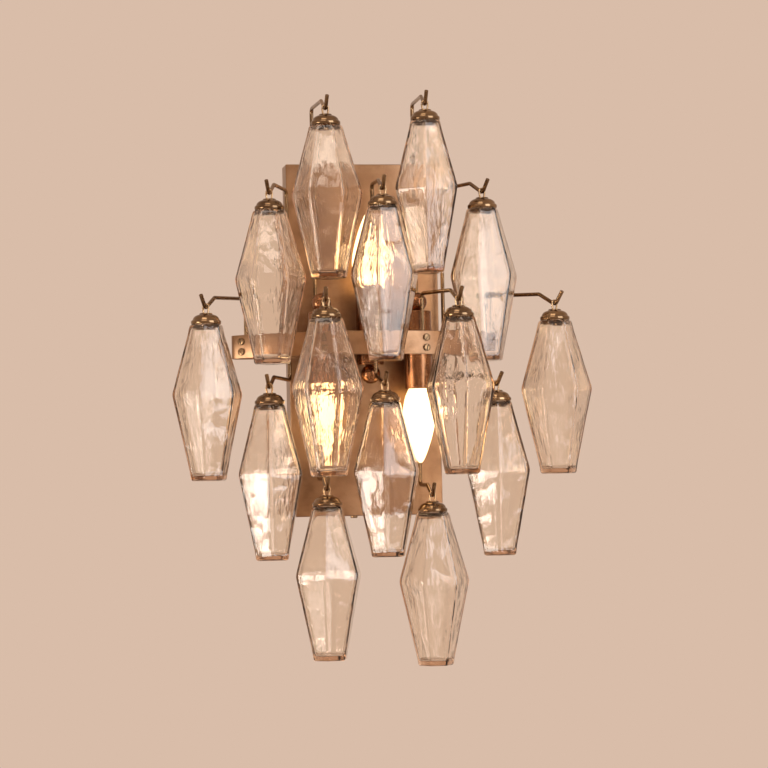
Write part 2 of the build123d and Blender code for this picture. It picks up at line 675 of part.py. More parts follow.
def drop_cap():
    """Domed cap with its wire loop over the rod and the toggle that holds the glass."""
    rings = [(radius, -CAP_TOP - below) for radius, below in reversed(CAP_OUTLINE)]
    dome = stack(CAP_SIDES, 0, rings)
    toggle_top = CAP_RIM + GLASS_TOP
    toggle_foot = toggle_top + TOGGLE_HEIGHT
    stem = Pos(0, 0, -(CAP_RIM + toggle_foot) / 2) * Box(STEM_WIDTH, STEM_WIDTH, toggle_foot - CAP_RIM)
    toggle = Pos(0, 0, -toggle_top - TOGGLE_HEIGHT / 2) * Box(TOGGLE_LENGTH, STEM_WIDTH, TOGGLE_HEIGHT)
    inner = ROD_RADIUS + LOOP_PLAY
    wire = loop_outline(inner + WIRE_RADIUS * 2) - loop_outline(inner)
    loop = extrude(Plane.XZ * wire, WIRE_RADIUS, both=True)
    return dome + stem + toggle + loop


# ---------------------------------------------------------------- the whole sconce
def sconce():
    """Every node's solids by name."""
    nodes = {
        "back_box": back_box(),
        "wall_bracket": wall_bracket(),
        "cover_screws": cover_screws(),
        "terminal_block": terminal_block(),
        "band": band(),
        "spacers": spacers(),
        "band_screws": band_screws(),
        "band_nuts": band_nuts(),
        "rod_screws": rod_screws(),
        "lamp_bar": lamp_bar(),
        "sleeve_screws": sleeve_screws(),
        "sleeves": [sleeve(name) for name in LAMPS],
        "ball_finials": ball_finials(),
        "lampholders": lampholders(),
        "lamp_leads": lamp_leads(),
        "bulb_bases": bulb_bases(),
        "bulbs": bulbs(),
    }
    glass, cap = glass_drop(), drop_cap()
    for rod in RODS:
        nodes[rod.name] = bent_rod(rod)
        seat = rod_seat(rod)
        for hook in rod.hooks:
            across, out, _ = arm_heading(seat, hook)
            place = Pos(hook.x, -hook.depth, hook.height)
            nodes[f"glass_drop_{hook.number:02d}"] = place * Rot(0, 0, hook.turn) * glass
            nodes[f"drop_cap_{hook.number:02d}"] = place * Rot(0, 0, degrees(atan2(across, out))) * cap
    return nodes


def main():
    os.makedirs("parts", exist_ok=True)
    for name, shape in sconce().items():
        solids = shape if isinstance(shape, list) else [shape]
        group = Compound(children=[solid for piece in solids for solid in piece.solids()])
        group.label = name
        export_step(group, f"parts/{name}.step")


main()
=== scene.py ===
"""Looks of the wall sconce with hanging six-sided glass drops, in metres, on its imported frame.

+X is to the right, +Z is up and the wall is the plane Y = 0. Sizes taken from the part's source are
kept in millimetres, as they are there, and "depth" is a distance from the wall, at Y = -depth.
"""

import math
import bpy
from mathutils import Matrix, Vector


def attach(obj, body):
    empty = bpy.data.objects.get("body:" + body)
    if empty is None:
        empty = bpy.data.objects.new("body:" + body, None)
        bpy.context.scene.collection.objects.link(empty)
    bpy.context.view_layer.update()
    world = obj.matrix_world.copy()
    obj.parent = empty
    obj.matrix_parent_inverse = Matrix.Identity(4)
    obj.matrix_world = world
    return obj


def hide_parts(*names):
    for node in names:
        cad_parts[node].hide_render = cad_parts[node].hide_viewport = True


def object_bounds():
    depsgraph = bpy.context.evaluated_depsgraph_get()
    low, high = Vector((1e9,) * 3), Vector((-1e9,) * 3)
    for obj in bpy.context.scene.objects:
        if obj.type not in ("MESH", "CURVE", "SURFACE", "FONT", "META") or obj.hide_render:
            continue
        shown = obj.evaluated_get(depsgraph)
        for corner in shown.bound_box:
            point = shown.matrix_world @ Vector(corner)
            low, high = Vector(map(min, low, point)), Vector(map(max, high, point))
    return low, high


bl_info = {
    "name": "Glass-drop wall sconce",
    "version": (1, 0, 0),
    "blender": (4, 5, 0),
    "location": "3D View > Sidebar > Sconce",
    "description": "Builds a brass wall sconce with hanging six-sided glass drops",
    "category": "Add Mesh",
}

import bmesh
import bpy
from mathutils import Matrix, Vector

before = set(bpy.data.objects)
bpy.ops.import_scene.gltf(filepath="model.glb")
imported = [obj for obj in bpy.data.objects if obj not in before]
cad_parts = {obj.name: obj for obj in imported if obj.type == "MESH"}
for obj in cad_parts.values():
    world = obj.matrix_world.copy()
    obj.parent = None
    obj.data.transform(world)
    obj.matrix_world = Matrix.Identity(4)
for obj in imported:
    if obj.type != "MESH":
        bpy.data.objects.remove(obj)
CAD_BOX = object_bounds()

MM = 0.001
BODY = "sconce"

# ---- sizes shared with the frame, in mm
BOX_WIDTH, BOX_HEIGHT, BOX_DEPTH, BOX_SHEET = 158.0, 366.0, 27.0, 1.5
BAND_HEIGHT, BAND_SHEET, BAND_MIDDLE = 24.0, 2.5, -8.0
BAND_BACK, BAND_REACH, BOW_RADIUS, BAND_END_RADIUS = 33.0, 102.0, 200.0, 8.0
BAND_INNER = BAND_BACK + BAND_SHEET
BOW_CENTRE = BAND_REACH - BOW_RADIUS
END_DEPTH = BAND_BACK + BAND_END_RADIUS
END_X = math.sqrt((BOW_RADIUS - BAND_END_RADIUS) ** 2 - (END_DEPTH - BOW_CENTRE) ** 2)
OUTER_ROD, SIDE_ROD = END_X - 6.4, END_X - 51.4
OUTER_HOOK = OUTER_ROD + 51.0
FIXING_X = 25.0
ROD_RADIUS, ROD_BEND, HOOK_BEND = 2.0, 6.0, 5.0
HOOK_FALL, HOOK_RUN, TIP_SLOPE, TIP_RUN = 27.0, 23.0, 50.0, 12.0
BLOCK_WIDTH, BLOCK_DEPTH, BLOCK_HEIGHT, ROD_GROOVE = 14.0, 5.0, 20.0, 1.0
SCREW_RISE = 5.25
COVER_SCREW_X, COVER_SCREW_DEPTH = 12.0, 9.0
LAMP_X, LAMP_DEPTH, LAMP_BAR_BACK, LAMP_BAR_FRONT = 50.0, 62.0, 45.5, 48.0
BAR_HALF, BAR_END_RADIUS = 60.0, 6.98
SLEEVE_RADIUS, SLEEVE_WALL, SLEEVE_LENGTH = 14.0, 1.2, 78.5
BALL_RADIUS, BALL_CENTRE = 10.0, 11.0
LEAD_RADIUS, LEAD_BENDS = 2.0, (10.0, 5.5)
LEAD_TURN, LEAD_DEPTH, TERMINAL_HEIGHT = 9.0, 11.0, -28.0
CAP_RIM = 17.0
CROSS_BAR, CROSS_BAR_HEIGHT = (19.0, 3.6, 1.6, 0.5), -21.2   # width, depth, height, edge; its place
WIRE_RADIUS = 1.0
GLASS_WALL, GLASS_LENGTH, GLASS_TOP, GLASS_FLOOR = 2.4, 155.0, 3.3, 5.0

# Rods: name, x, on the bow, hooks of (number, x, depth, height, turn of the glass, fall, crest).
RODS = (
    ("rod_inner_left", -53, False, ((1, -51, 124, 227, 20, 0, True), (13, -54, 102, -156, -14, 0, True))),
    ("rod_inner_right", 53, False, ((2, 51, 124, 232, -11, 0, True), (14, 54, 102, -164, -30, 0, True))),
    ("rod_side_left", -SIDE_ROD, False,
     ((3, -109, 119, 142, 20, 0, True), (10, -115, 138, -54, -10, 0, True))),
    ("rod_side_right", SIDE_ROD, False,
     ((5, 109, 119, 143, -22, 0, True), (12, 115, 138, -54, -10, 0, True))),
    ("rod_centre", 0, True, ((4, 0, 157, 142, -19, 0, True), (11, 0, 146, -53, -15, 0, False))),
    ("rod_outer_left", -OUTER_ROD, True, ((6, -OUTER_HOOK, 139, 26, -20, 4, True),)),
    ("rod_outer_right", OUTER_ROD, True, ((9, OUTER_HOOK, 139, 27, 24, 4, True),)),
    ("rod_front_left", -50.6, True, ((7, -66, 200, 27, 13, 4, True),)),
    ("rod_front_right", 50.6, True, ((8, 66, 200, 27, -1, 4, True),)),
)
# Lamps: x, height of the blind end of the sleeve, and whether the bulb points up.
LAMPS = ((-LAMP_X, 24.5, False), (0.0, -27.0, True), (LAMP_X, 24.5, False))
# Leads: x of the lamp's end, x at the terminals, and height where the lead leaves its lamp.
LEADS = ((-46.0, -11.0, -23.0), (0.0, 0.0, 20.5), (46.0, 11.0, -23.0))
# Screws: shank radius, head radius, head height.
LARGE_SCREW, SMALL_SCREW = (2.0, 3.8, 2.2), (1.5, 2.7, 1.6)

# ---- outlines as (radius, height), in mm
# Flange of a ball end as (distance inside the tube's radius, height), and the neck under the ball.
BALL_FLANGE = ((0.3, 0.0), (0.0, -0.3), (0.1, -1.0), (0.6, -1.6))
BALL_NECK = ((6.2, -1.7), (5.3, -1.9), (5.0, -2.3))
# Candle bulb, with heights from the open end of its tube.
BULB_OUTLINE = (
    (9.9, -1.0), (11.4, 1.5), (14.6, 9.0), (16.9, 22.0), (16.0, 34.0),
    (12.2, 50.0), (8.6, 61.0), (5.0, 70.0), (2.2, 75.0), (0.01, 76.0),
)
# Cap with its stepped dome, rolled rim, hollow underside and stem.
CAP_OUTLINE = (
    (0, -5.8), (5.6, -5.85), (6.2, -6.05), (6.5, -6.5), (6.6, -7.0), (7.2, -7.3), (9.2, -7.9),
    (11.2, -9.0), (12.6, -10.5), (13.3, -12.1), (13.6, -12.8), (14.3, -13.1), (14.8, -13.6),
    (15.0, -14.5), (15.0, -15.7), (14.8, -16.6), (14.3, -17.0), (13.4, -16.95), (12.9, -16.2),
    (12.2, -13.8), (9.0, -10.6), (5.0, -9.2), (2.0, -9.1), (2.0, -21.2), (1.6, -21.9), (0, -22.0),
)
# One half of the wire loop as (sideways, height, bend) from its foot in the cap to its top.
LOOP_HALF = ((2.5, -6.6, 0), (2.6, -4.6, 1), (3.15, 0.0, 2), (3.15, 3.15, 3.1))
# Glass: radius over the six corners and distance below the cap's rim.
GLASS_OUTLINE = ((15.2, 0.0), (17.6, 3.0), (36.7, 69.5), (18.4, 153.4), (16.8, 155.0))
BELLY = GLASS_OUTLINE[2][1]
GLASS_MOUTH = ((17.5, 3.0), (16.9, 1.6), (16.0, 0.7), (14.6, 0.05), (9.0, 0.0), (8.2, 0.3), (8.0, 1.0),
               (8.1, 2.6))
# Underside and inner floor of the glass: radius and lift.
GLASS_FOOT = ((6.0, 0.75), (12.0, 0.25), (15.2, 0.0), (16.4, 0.1), (17.2, 0.5), (17.9, 1.1))
GLASS_INSIDE = ((15.6, 0.9), (13.5, 0.2), (8.0, 0.0))
FOOT_HOLLOW, FLOOR_CROWN, SHOULDER = 0.9, 0.1, 1.0

# ---- fineness of the meshes
BOX_FOLD_STEPS, BLOCK_EDGE_STEPS, BAND_EDGE_STEPS, BAR_END_STEPS = 5, 3, 3, 16
BAND_STEP, BAND_TURN, BAND_BACK_STEP, BAND_LEAST = 2.0, 0.09, 6.0, 8
SCREW_SIDES, CAP_SIDES, LAMP_SIDES, THIN_SIDES = 28, 56, 72, 14
BALL_STEPS, BULB_STEPS, LOOP_STEPS = 26, 5, 7
FACE_STEPS, CORNER_STEPS = 7, 5
FINE_STEP, COARSE_STEP, FINE_SPAN = 1.2, 2.8, 4.0


# ---- small helpers
def linear(hex_colour):
    """An sRGB hex colour as linear red, green, blue."""
    levels = [int(hex_colour[i:i + 2], 16) / 255 for i in (1, 3, 5)]
    return tuple(v / 12.92 if v <= 0.04045 else ((v + 0.055) / 1.055) ** 2.4 for v in levels)


def opaque(colour):
    return (*colour, 1.0)


def at(x, depth, height):
    """A place in metres from millimetres and a depth."""
    return Vector((x, -depth, height)) * MM


def smooth(mesh, angle=35):
    mesh.shade_smooth()
    mesh.set_sharp_from_angle(angle=math.radians(angle))
    return mesh


def linked(name, data):
    """A new object in the scene."""
    made = bpy.data.objects.new(name, data)
    bpy.context.scene.collection.objects.link(made)
    return made


def evaluated(source):
    """The mesh of an object as its modifiers leave it; the object goes."""
    depsgraph = bpy.context.evaluated_depsgraph_get()
    mesh = bpy.data.meshes.new_from_object(source.evaluated_get(depsgraph))
    bpy.data.objects.remove(source)
    return mesh


def as_piece(name, mesh, finish, stands_for, body=BODY):
    """A piece with a finish of that name, from a mesh whose place is in its vertices."""
    piece = linked(name, mesh)
    mesh.materials.clear()
    mesh.materials.append(material(finish))
    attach(piece, body)
    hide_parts(*stands_for)
    return piece


def plain_mesh(name, shape):
    """A mesh from a bmesh as it is."""
    mesh = bpy.data.meshes.new(name)
    shape.to_mesh(mesh)
    shape.free()
    return mesh


def mesh_of(name, shape, place=None):
    """A mesh from a closed bmesh, moved to its place, with its faces looking outwards."""
    if place is not None:
        shape.transform(place)
    bmesh.ops.recalc_face_normals(shape, faces=shape.faces)
    return plain_mesh(name, shape)


def take_in(shape, mesh):
    """Adds a mesh to a bmesh; the mesh goes."""
    shape.from_mesh(mesh)
    bpy.data.meshes.remove(mesh)


def add_rings(shape, rings, closed=False):
    """Skins rings of points in a bmesh. A ring of one point is a pole; closed joins last to first."""
    made = [[shape.verts.new(p) for p in ring] for ring in rings]
    pairs = zip(made, made[1:] + made[:1]) if closed else zip(made, made[1:])
    for lower, upper in pairs:
        count = max(len(lower), len(upper))
        for i in range(count):
            corners = []
            for ring, k in ((lower, i), (lower, i + 1), (upper, i + 1), (upper, i)):
                vert = ring[k % len(ring)]
                if vert not in corners:
                    corners.append(vert)
            shape.faces.new(corners)
    return made


def turned(profile, sides):
    """A bmesh turned round Z from a profile of (radius, height) in mm."""
    angles = [2 * math.pi * k / sides for k in range(sides)]
    rings = []
    for radius, height in profile:
        if radius <= 0:
            rings.append([Vector((0, 0, height)) * MM])
            continue
        rings.append([Vector((radius * math.cos(a), radius * math.sin(a), height)) * MM for a in angles])
    shape = bmesh.new()
    add_rings(shape, rings)
    return shape


def smooth_profile(points, steps):
    """A smooth curve through (radius, height) points, in steps between each two."""
    padded = [points[0], *points, points[-1]]
    out = []
    for a, b, c, d in zip(padded, padded[1:], padded[2:], padded[3:]):
        for i in range(steps):
            t = i / steps
            out.append(tuple(
                0.5 * (2 * q + (r - p) * t + (2 * p - 5 * q + 4 * r - s) * t * t
                       + (3 * q - p - 3 * r + s) * t ** 3)
                for p, q, r, s in zip(a, b, c, d)))
    return out


def arc_points(centre_u, centre_v, radius, start, end, steps):
    """Points of an arc from one angle to another in degrees; 0 points along u, 90 along v."""
    angles = [math.radians(start + (end - start) * k / steps) for k in range(steps + 1)]
    return [(centre_u + radius * math.cos(a), centre_v + radius * math.sin(a)) for a in angles]


def cuboid(width, depth, height):
    """A box about the origin, in mm."""
    shape = bmesh.new()
    bmesh.ops.create_cube(shape, size=1.0)
    bmesh.ops.scale(shape, vec=Vector((width, depth, height)) * MM, verts=shape.verts)
    return shape


def round_edges(shape, edges, radius, steps):
    """Rounds edges of a bmesh by a radius in metres."""
    bmesh.ops.bevel(shape, geom=edges, offset=radius, segments=steps, profile=0.5, affect="EDGES")


def rounded_block(width, depth, height, edge, steps=BLOCK_EDGE_STEPS):
    """A box about the origin with rounded edges, in mm."""
    shape = cuboid(width, depth, height)
    round_edges(shape, shape.edges[:], edge * MM, steps)
    return shape


# ---- node trees
def add(tree, kind, inputs=None, **settings):
    """Adds a node to a tree, with its settings, and its inputs as values or links."""
    made = tree.nodes.new(kind)
    for name, value in settings.items():
        setattr(made, name, value)
    for name, value in (inputs or {}).items():
        if isinstance(value, bpy.types.NodeSocket):
            tree.links.new(value, made.inputs[name])
        else:
            made.inputs[name].default_value = value
    return made


def add_math(tree, operation, first, second, **settings):
    return add(tree, "ShaderNodeMath", {0: first, 1: second}, operation=operation, **settings).outputs[0]


def add_noise(tree, place, scale, detail):
    return add(tree, "ShaderNodeTexNoise", {"Vector": place, "Scale": scale, "Detail": detail}).outputs["Fac"]


def add_range(tree, value, low, high, to_low=0.0, to_high=1.0):
    """Maps low to high onto another range, and holds the ends."""
    return add(tree, "ShaderNodeMapRange", {"Value": value, "From Min": low, "From Max": high,
                                            "To Min": to_low, "To Max": to_high}).outputs[0]


def add_bump(tree, height, strength, distance):
    return add(tree, "ShaderNodeBump",
               {"Height": height, "Strength": strength, "Distance": distance}).outputs[0]


def add_blend(tree, share, first, second):
    """One colour turning into another by a share."""
    return add(tree, "ShaderNodeMix", {0: share, 6: opaque(first), 7: opaque(second)},
               data_type="RGBA").outputs[2]


def add_mixed(tree, share, first, second):
    """One shader turning into another by a share."""
    return add(tree, "ShaderNodeMixShader",
               {0: share, 1: first.outputs[0], 2: second.outputs[0]}).outputs[0]


def add_attribute(tree, name, kind):
    return add(tree, "GeometryNodeInputNamedAttribute", {"Name": name}, data_type=kind).outputs[0]


def seen_rays(tree):
    """1 for a ray that shows a surface in the picture: straight, mirrored or through glass."""
    path = add(tree, "ShaderNodeLightPath").outputs
    seen = add_math(tree, "ADD", path["Is Camera Ray"], path["Is Glossy Ray"])
    return add_math(tree, "ADD", seen, path["Is Transmission Ray"], use_clamp=True)


def start_tree(name, inputs, output):
    """A geometry node tree with inputs of (name, kind, default), and the sockets they arrive on."""
    tree = bpy.data.node_groups.new(name, "GeometryNodeTree")
    for title, kind, default in inputs:
        made = tree.interface.new_socket(title, in_out="INPUT", socket_type=f"NodeSocket{kind}")
        if default is not None:
            made.default_value = default
    tree.interface.new_socket(output, in_out="OUTPUT", socket_type="NodeSocketGeometry")
    return tree, add(tree, "NodeGroupInput").outputs


def end_tree(tree, given, made):
    """Makes what a node made real, gives it the finish that came in, and sends it out."""
    real = add(tree, "GeometryNodeRealizeInstances", {0: made.outputs[0]})
    finished = add(tree, "GeometryNodeSetMaterial",
                   {"Geometry": real.outputs[0], "Material": given["Material"]})
    add(tree, "NodeGroupOutput", {0: finished.outputs[0]})
    return tree


def run_nodes(name, data, tree, values):
    """The mesh that a geometry node tree makes of some data, with its inputs set by identifier."""
    source = linked(name, data)
    modifier = source.modifiers.new("shape", "NODES")
    modifier.node_group = tree
    for item in tree.interface.items_tree:
        if item.item_type == "SOCKET" and item.in_out == "INPUT" and item.name in values:
            modifier[item.identifier] = values[item.name]
    mesh = evaluated(source)
    mesh.name = name
    return mesh


# ---- where the rods run
def rod_seat(x, on_bow):
    """Place of a rod's block (its local -Y points out of the band), its depth and its stand-off."""
    rod_to_band = BLOCK_DEPTH + ROD_RADIUS - ROD_GROOVE
    if on_bow:
        inner = BOW_RADIUS - BAND_SHEET
        radius = math.sqrt(inner ** 2 - (BLOCK_WIDTH / 2) ** 2) - rod_to_band
        angle = math.asin(x / radius)
        depth = BOW_CENTRE + radius * math.cos(angle)
        outside = BOW_RADIUS - radius
    else:
        angle = math.pi
        depth = BAND_INNER + rod_to_band
        outside = rod_to_band + BAND_SHEET
    place = Matrix.Translation(at(x, depth, BAND_MIDDLE)) @ Matrix.Rotation(angle, 4, "Z")
    return place, depth, outside


def arm_heading(x, depth, hook):
    """Unit direction in plan from a rod's riser to a hook, as (sideways, outwards), and the reach."""
    across, out = hook[1] - x, hook[2] - depth
    reach = math.hypot(across, out)
    return across / reach, out / reach, reach


def hook_corners(x, depth, hook):
    """Corners of a rod's centre line from the bend of its riser to the tip of a hook."""
    _, _, _, height, _, drop, crest = hook
    across, out, reach = arm_heading(x, depth, hook)

    def spot(run, z):
        return at(x + across * run, depth + out * run, z)

    rise, fall = math.radians(TIP_SLOPE), math.radians(HOOK_FALL)
    riser = height + HOOK_RUN * math.tan(fall) + drop
    if not crest:
        fall = math.atan2(riser - height, reach)
    to_corner = HOOK_BEND / math.cos((fall + rise) / 2)
    lean = (rise - fall) / 2
    run = reach + to_corner * math.sin(lean)
    low = height + HOOK_BEND - to_corner * math.cos(lean)
    corners = [spot(0, riser)]
    if crest:
        corners.append(spot(reach - HOOK_RUN, low + (run - reach + HOOK_RUN) * math.tan(fall)))
    corners.append(spot(run, low))
    corners.append(spot(reach + TIP_RUN, low + (reach + TIP_RUN - run) * math.tan(rise)))
    return corners


def each_hook():
    """Every hook's number, the turn of its glass, the place of its bottom and its arm's heading."""
    for _, x, on_bow, hooks in RODS:
        _, depth, _ = rod_seat(x, on_bow)
        for hook in hooks:
            across, out, _ = arm_heading(x, depth, hook)
            yield hook[0], hook[4], at(*hook[1:4]), math.atan2(across, out)


# ---- materials
def new_material(name):
    """A material with an empty tree, and the place on the object that its textures use."""
    made = bpy.data.materials.new(name)
    made.use_nodes = True
    made.node_tree.nodes.clear()
    return made, made.node_tree, add(made.node_tree, "ShaderNodeTexCoord").outputs["Object"]


def surface(tree, shader, **others):
    add(tree, "ShaderNodeOutputMaterial", {"Surface": shader, **others})


def aged_brass(metal, name, kind, smoother, grain, stretch):
    """Brass, lacquered over a brown patina: soft cloudy colour, finer grain along the rub."""
    made, tree, place = new_material(name)
    roughness = getattr(metal, f"{kind}_roughness") - smoother
    along = add(tree, "ShaderNodeMapping", {"Vector": place, "Scale": stretch}).outputs[0]
    # The patina's clouds are about 20 mm across.
    clouds = add_noise(tree, place, 50.0, 5.0)
    # The rub of the satin finish, about a third of a millimetre wide and drawn out along it.
    rub = add_noise(tree, along, grain, 3.0)
    tone = add_range(tree, clouds, 0.22, 0.78)
    colour = add_blend(tree, tone, getattr(metal, f"{kind}_dark"), getattr(metal, f"{kind}_light"))
    rough = add_range(tree, rub, 0.3, 0.7, roughness - 0.07, roughness + 0.09)
    shader = add(tree, "ShaderNodeBsdfPrincipled",
                 {"Base Color": colour, "Metallic": 1.0, "Roughness": rough,
                  "Normal": add_bump(tree, rub, 0.12, 0.0002)})
    surface(tree, shader.outputs[0])
    return made


def champagne_glass(settings):
    """Blown and moulded soda glass, lightly tinted: the tint gathers where the wall is seen edge on."""
    made, tree, place = new_material("champagne_glass")
    drawn = add(tree, "ShaderNodeMapping", {"Vector": place, "Scale": (1.0, 1.0, 0.1)}).outputs[0]
    # Fine streaks from the mould, 3 to 4 mm apart and drawn out downwards.
    streaks = add_noise(tree, drawn, 290.0, 2.5)
    # Some patches, 20 to 30 mm long, came out of the mould nearly smooth.
    patches = add_range(tree, add_noise(tree, place, 42.0, 1.0), 0.46, 0.64, 0.08, 1.0)
    height = add_math(tree, "MULTIPLY", streaks, patches)
    glass = add(tree, "ShaderNodeBsdfPrincipled",
                {"Base Color": opaque(settings.tint), "Roughness": 0.015, "IOR": 1.52,
                 "Transmission Weight": 1.0, "Normal": add_bump(tree, height, 0.7, 0.0012)})
    # Light passes the thin walls to what hangs behind, as it does in the real glass.
    clear = add(tree, "ShaderNodeBsdfTransparent", {"Color": opaque(settings.shadow)})
    path = add(tree, "ShaderNodeLightPath")
    tint = add(tree, "ShaderNodeVolumeAbsorption",
               {"Color": opaque(settings.depth_tint), "Density": settings.depth_density})
    surface(tree, add_mixed(tree, path.outputs["Is Shadow Ray"], glass, clear), Volume=tint.outputs[0])
    return made


def frosted_bulb(settings):
    """Etched soda glass lit from inside, with an even warm glow."""
    made, tree, place = new_material("frosted_bulb_glass")
    etch = add_noise(tree, place, 900.0, 2.0)
    shader = add(tree, "ShaderNodeBsdfPrincipled",
                 {"Base Color": opaque(settings.frost), "Roughness": 0.45,
                  "Normal": add_bump(tree, etch, 0.1, 0.0001),
                  "Emission Color": opaque(settings.glow), "Emission Strength": settings.strength})
    surface(tree, shader.outputs[0])
    return made


def plain_finish(name, colour, other, metallic, roughness, grain, bump_height):
    """Moulded, dipped or plated surface with a little uneven tone and a fine texture."""
    made, tree, place = new_material(name)
    patches = add_noise(tree, place, grain, 4.0)
    tone = add_blend(tree, patches, linear(colour), linear(other))
    rough = add_range(tree, patches, 0.0, 1.0, roughness - 0.06, roughness + 0.06)
    shader = add(tree, "ShaderNodeBsdfPrincipled",
                 {"Base Color": tone, "Metallic": metallic, "Roughness": rough,
                  "Normal": add_bump(tree, patches, 0.2, bump_height * MM)})
    surface(tree, shader.outputs[0])
    return made


# Brasses: material, the settings it takes, how much smoother than they say, grain, stretch of the rub.
BRASSES = {
    # Brushed sheet, rubbed upright, which gives soft vertical highlights.
    "box_brass": ("box_satin_brass", "sheet", 0.0, 900.0, (3.0, 3.0, 0.12)),
    # Flat bar, rubbed along its length.
    "band_brass": ("band_satin_brass", "sheet", 0.0, 900.0, (0.12, 0.3, 3.0)),
    # Drawn rod and spun caps: browner in the patina and shinier on the high spots.
    "rod_brass": ("drawn_rod_brass", "rod", 0.0, 700.0, (1.0, 1.0, 1.0)),
    "cap_brass": ("spun_cap_brass", "rod", 0.04, 700.0, (0.4, 0.4, 3.0)),
    # Turned tube and balls, polished and then lacquered.
    "tube_brass": ("turned_tube_brass", "tube", 0.0, 800.0, (0.5, 0.5, 3.0)),
    # The wire of the loops is bare and bright.
    "wire_brass": ("bright_wire_brass", "wire", 0.0, 600.0, (1.0, 1.0, 1.0)),
}
# Plain finishes: material, two tones, metallic, roughness, grain, height of the texture in mm.
PLAIN_FINISHES = {
    # Zinc-plated pressed steel: cool grey with faint spangles.
    "zinc": ("zinc_plated_steel", "#A8ABAD", "#BFC2C2", 1.0, 0.38, 160.0, 0.02),
    # Glazed steatite sockets and terminal block: off-white and slightly glossy.
    "steatite": ("glazed_steatite", "#E4DECF", "#D5CDBB", 0.0, 0.3, 120.0, 0.05),
    # Woven glass sleeving over the leads: pale and matt.
    "sleeving": ("woven_lead_sleeving", "#CFC4A6", "#B7AA8A", 0.0, 0.8, 1500.0, 0.15),
}
MATERIALS = {}


def material(name):
    """One of the sconce's finishes, made when it is first asked for."""
    scene = bpy.context.scene
    if name not in MATERIALS:
        if name in BRASSES:
            MATERIALS[name] = aged_brass(scene.sconce_metal, *BRASSES[name])
        elif name in PLAIN_FINISHES:
            MATERIALS[name] = plain_finish(*PLAIN_FINISHES[name])
        elif name == "glass":
            MATERIALS[name] = champagne_glass(scene.sconce_glass)
        else:
            MATERIALS[name] = frosted_bulb(scene.sconce_lamp)
    return MATERIALS[name]


# ---- settings
def colour_setting(title, text, default):
    return bpy.props.FloatVectorProperty(
        name=title, description=text, subtype="COLOR", size=3, min=0, max=1, default=linear(default))


def number_setting(title, text, default, most=1.0):
    return bpy.props.FloatProperty(name=title, description=text, default=default, min=0, max=most)


def length_setting(title, text, default, most, least=0.0):
    return bpy.props.FloatProperty(name=title, description=text, default=default, min=least, max=most,
                                   precision=5, subtype="DISTANCE", unit="LENGTH")


class SconceEdges(bpy.types.PropertyGroup):
    box_fold: length_setting("Box fold", "Radius of the folds of the wall box", 0.0011, 0.005)
    band_ease: length_setting("Band edge", "Radius of the edges of the band", 0.0005, 0.0012)
    bar_ease: length_setting("Lamp bar edge", "Bevel of the edges of the lamp bar", 0.0004, 0.001)
    block_edge: length_setting("Block edge", "Radius of the edges of the rods' blocks", 0.0007, 0.002)


class SconceMetal(bpy.types.PropertyGroup):
    sheet_dark: colour_setting("Sheet, dark", "Patina of the box and band where it is deepest", "#7C5D45")
    sheet_light: colour_setting("Sheet, light", "Box and band where the patina is rubbed thin", "#A58263")
    sheet_roughness: number_setting("Sheet roughness", "Satin of the box and band", 0.34)
    rod_dark: colour_setting("Rod, dark", "Patina of the rods and caps where it is deepest", "#5C4734")
    rod_light: colour_setting("Rod, light", "Rods and caps where the patina is rubbed thin", "#A18463")
    rod_roughness: number_setting("Rod roughness", "Satin of the rods and caps", 0.18)
    tube_dark: colour_setting("Tube, dark", "Lamp tubes and balls where the patina is deepest", "#6E4A34")
    tube_light: colour_setting("Tube, light", "Lamp tubes and balls where they are polished", "#A37552")
    tube_roughness: number_setting("Tube roughness", "Polish of the lamp tubes and balls", 0.2)
    wire_dark: colour_setting("Wire, dark", "Wire loops in their creases", "#9C7E5E")
    wire_light: colour_setting("Wire, light", "Wire loops where they are bright", "#D8BE98")
    wire_roughness: number_setting("Wire roughness", "Polish of the wire loops", 0.2)


class SconceGlass(bpy.types.PropertyGroup):
    tint: colour_setting("Tint", "Colour that one pass through a wall leaves", "#FEFBF6")
    shadow: colour_setting("Shadow tint", "Light that a wall lets through to what is behind it", "#F6EEE2")
    depth_tint: colour_setting("Depth tint", "Champagne tone of thick glass", "#E4C39C")
    depth_density: number_setting("Depth of tint", "How quickly the tint gathers, per metre", 58.0, 500)
    ripple: length_setting("Ripple", "Depth of the waves in the faces", 0.0009, 0.002)
    wave: length_setting("Wave length", "Distance between the waves in the faces", 0.011, 0.05, 0.002)


class SconceLamp(bpy.types.PropertyGroup):
    frost: colour_setting("Frost", "Colour of the etched glass of a bulb", "#F6F0E2")
    glow: colour_setting("Glow", "Colour of a lit bulb", "#FFD89C")
    strength: number_setting("Strength", "Brightness of a lit bulb", 2.5, 50)


class SconceStage(bpy.types.PropertyGroup):
    backdrop: colour_setting("Backdrop", "Pale colour behind and under the sconce", "#D9BDA9")
    floor_gap: length_setting("Floor gap", "How far the floor lies below the lowest drop", 1.9, 5)
    daylight: number_setting("Daylight", "Even light from all round", 0.5, 5)


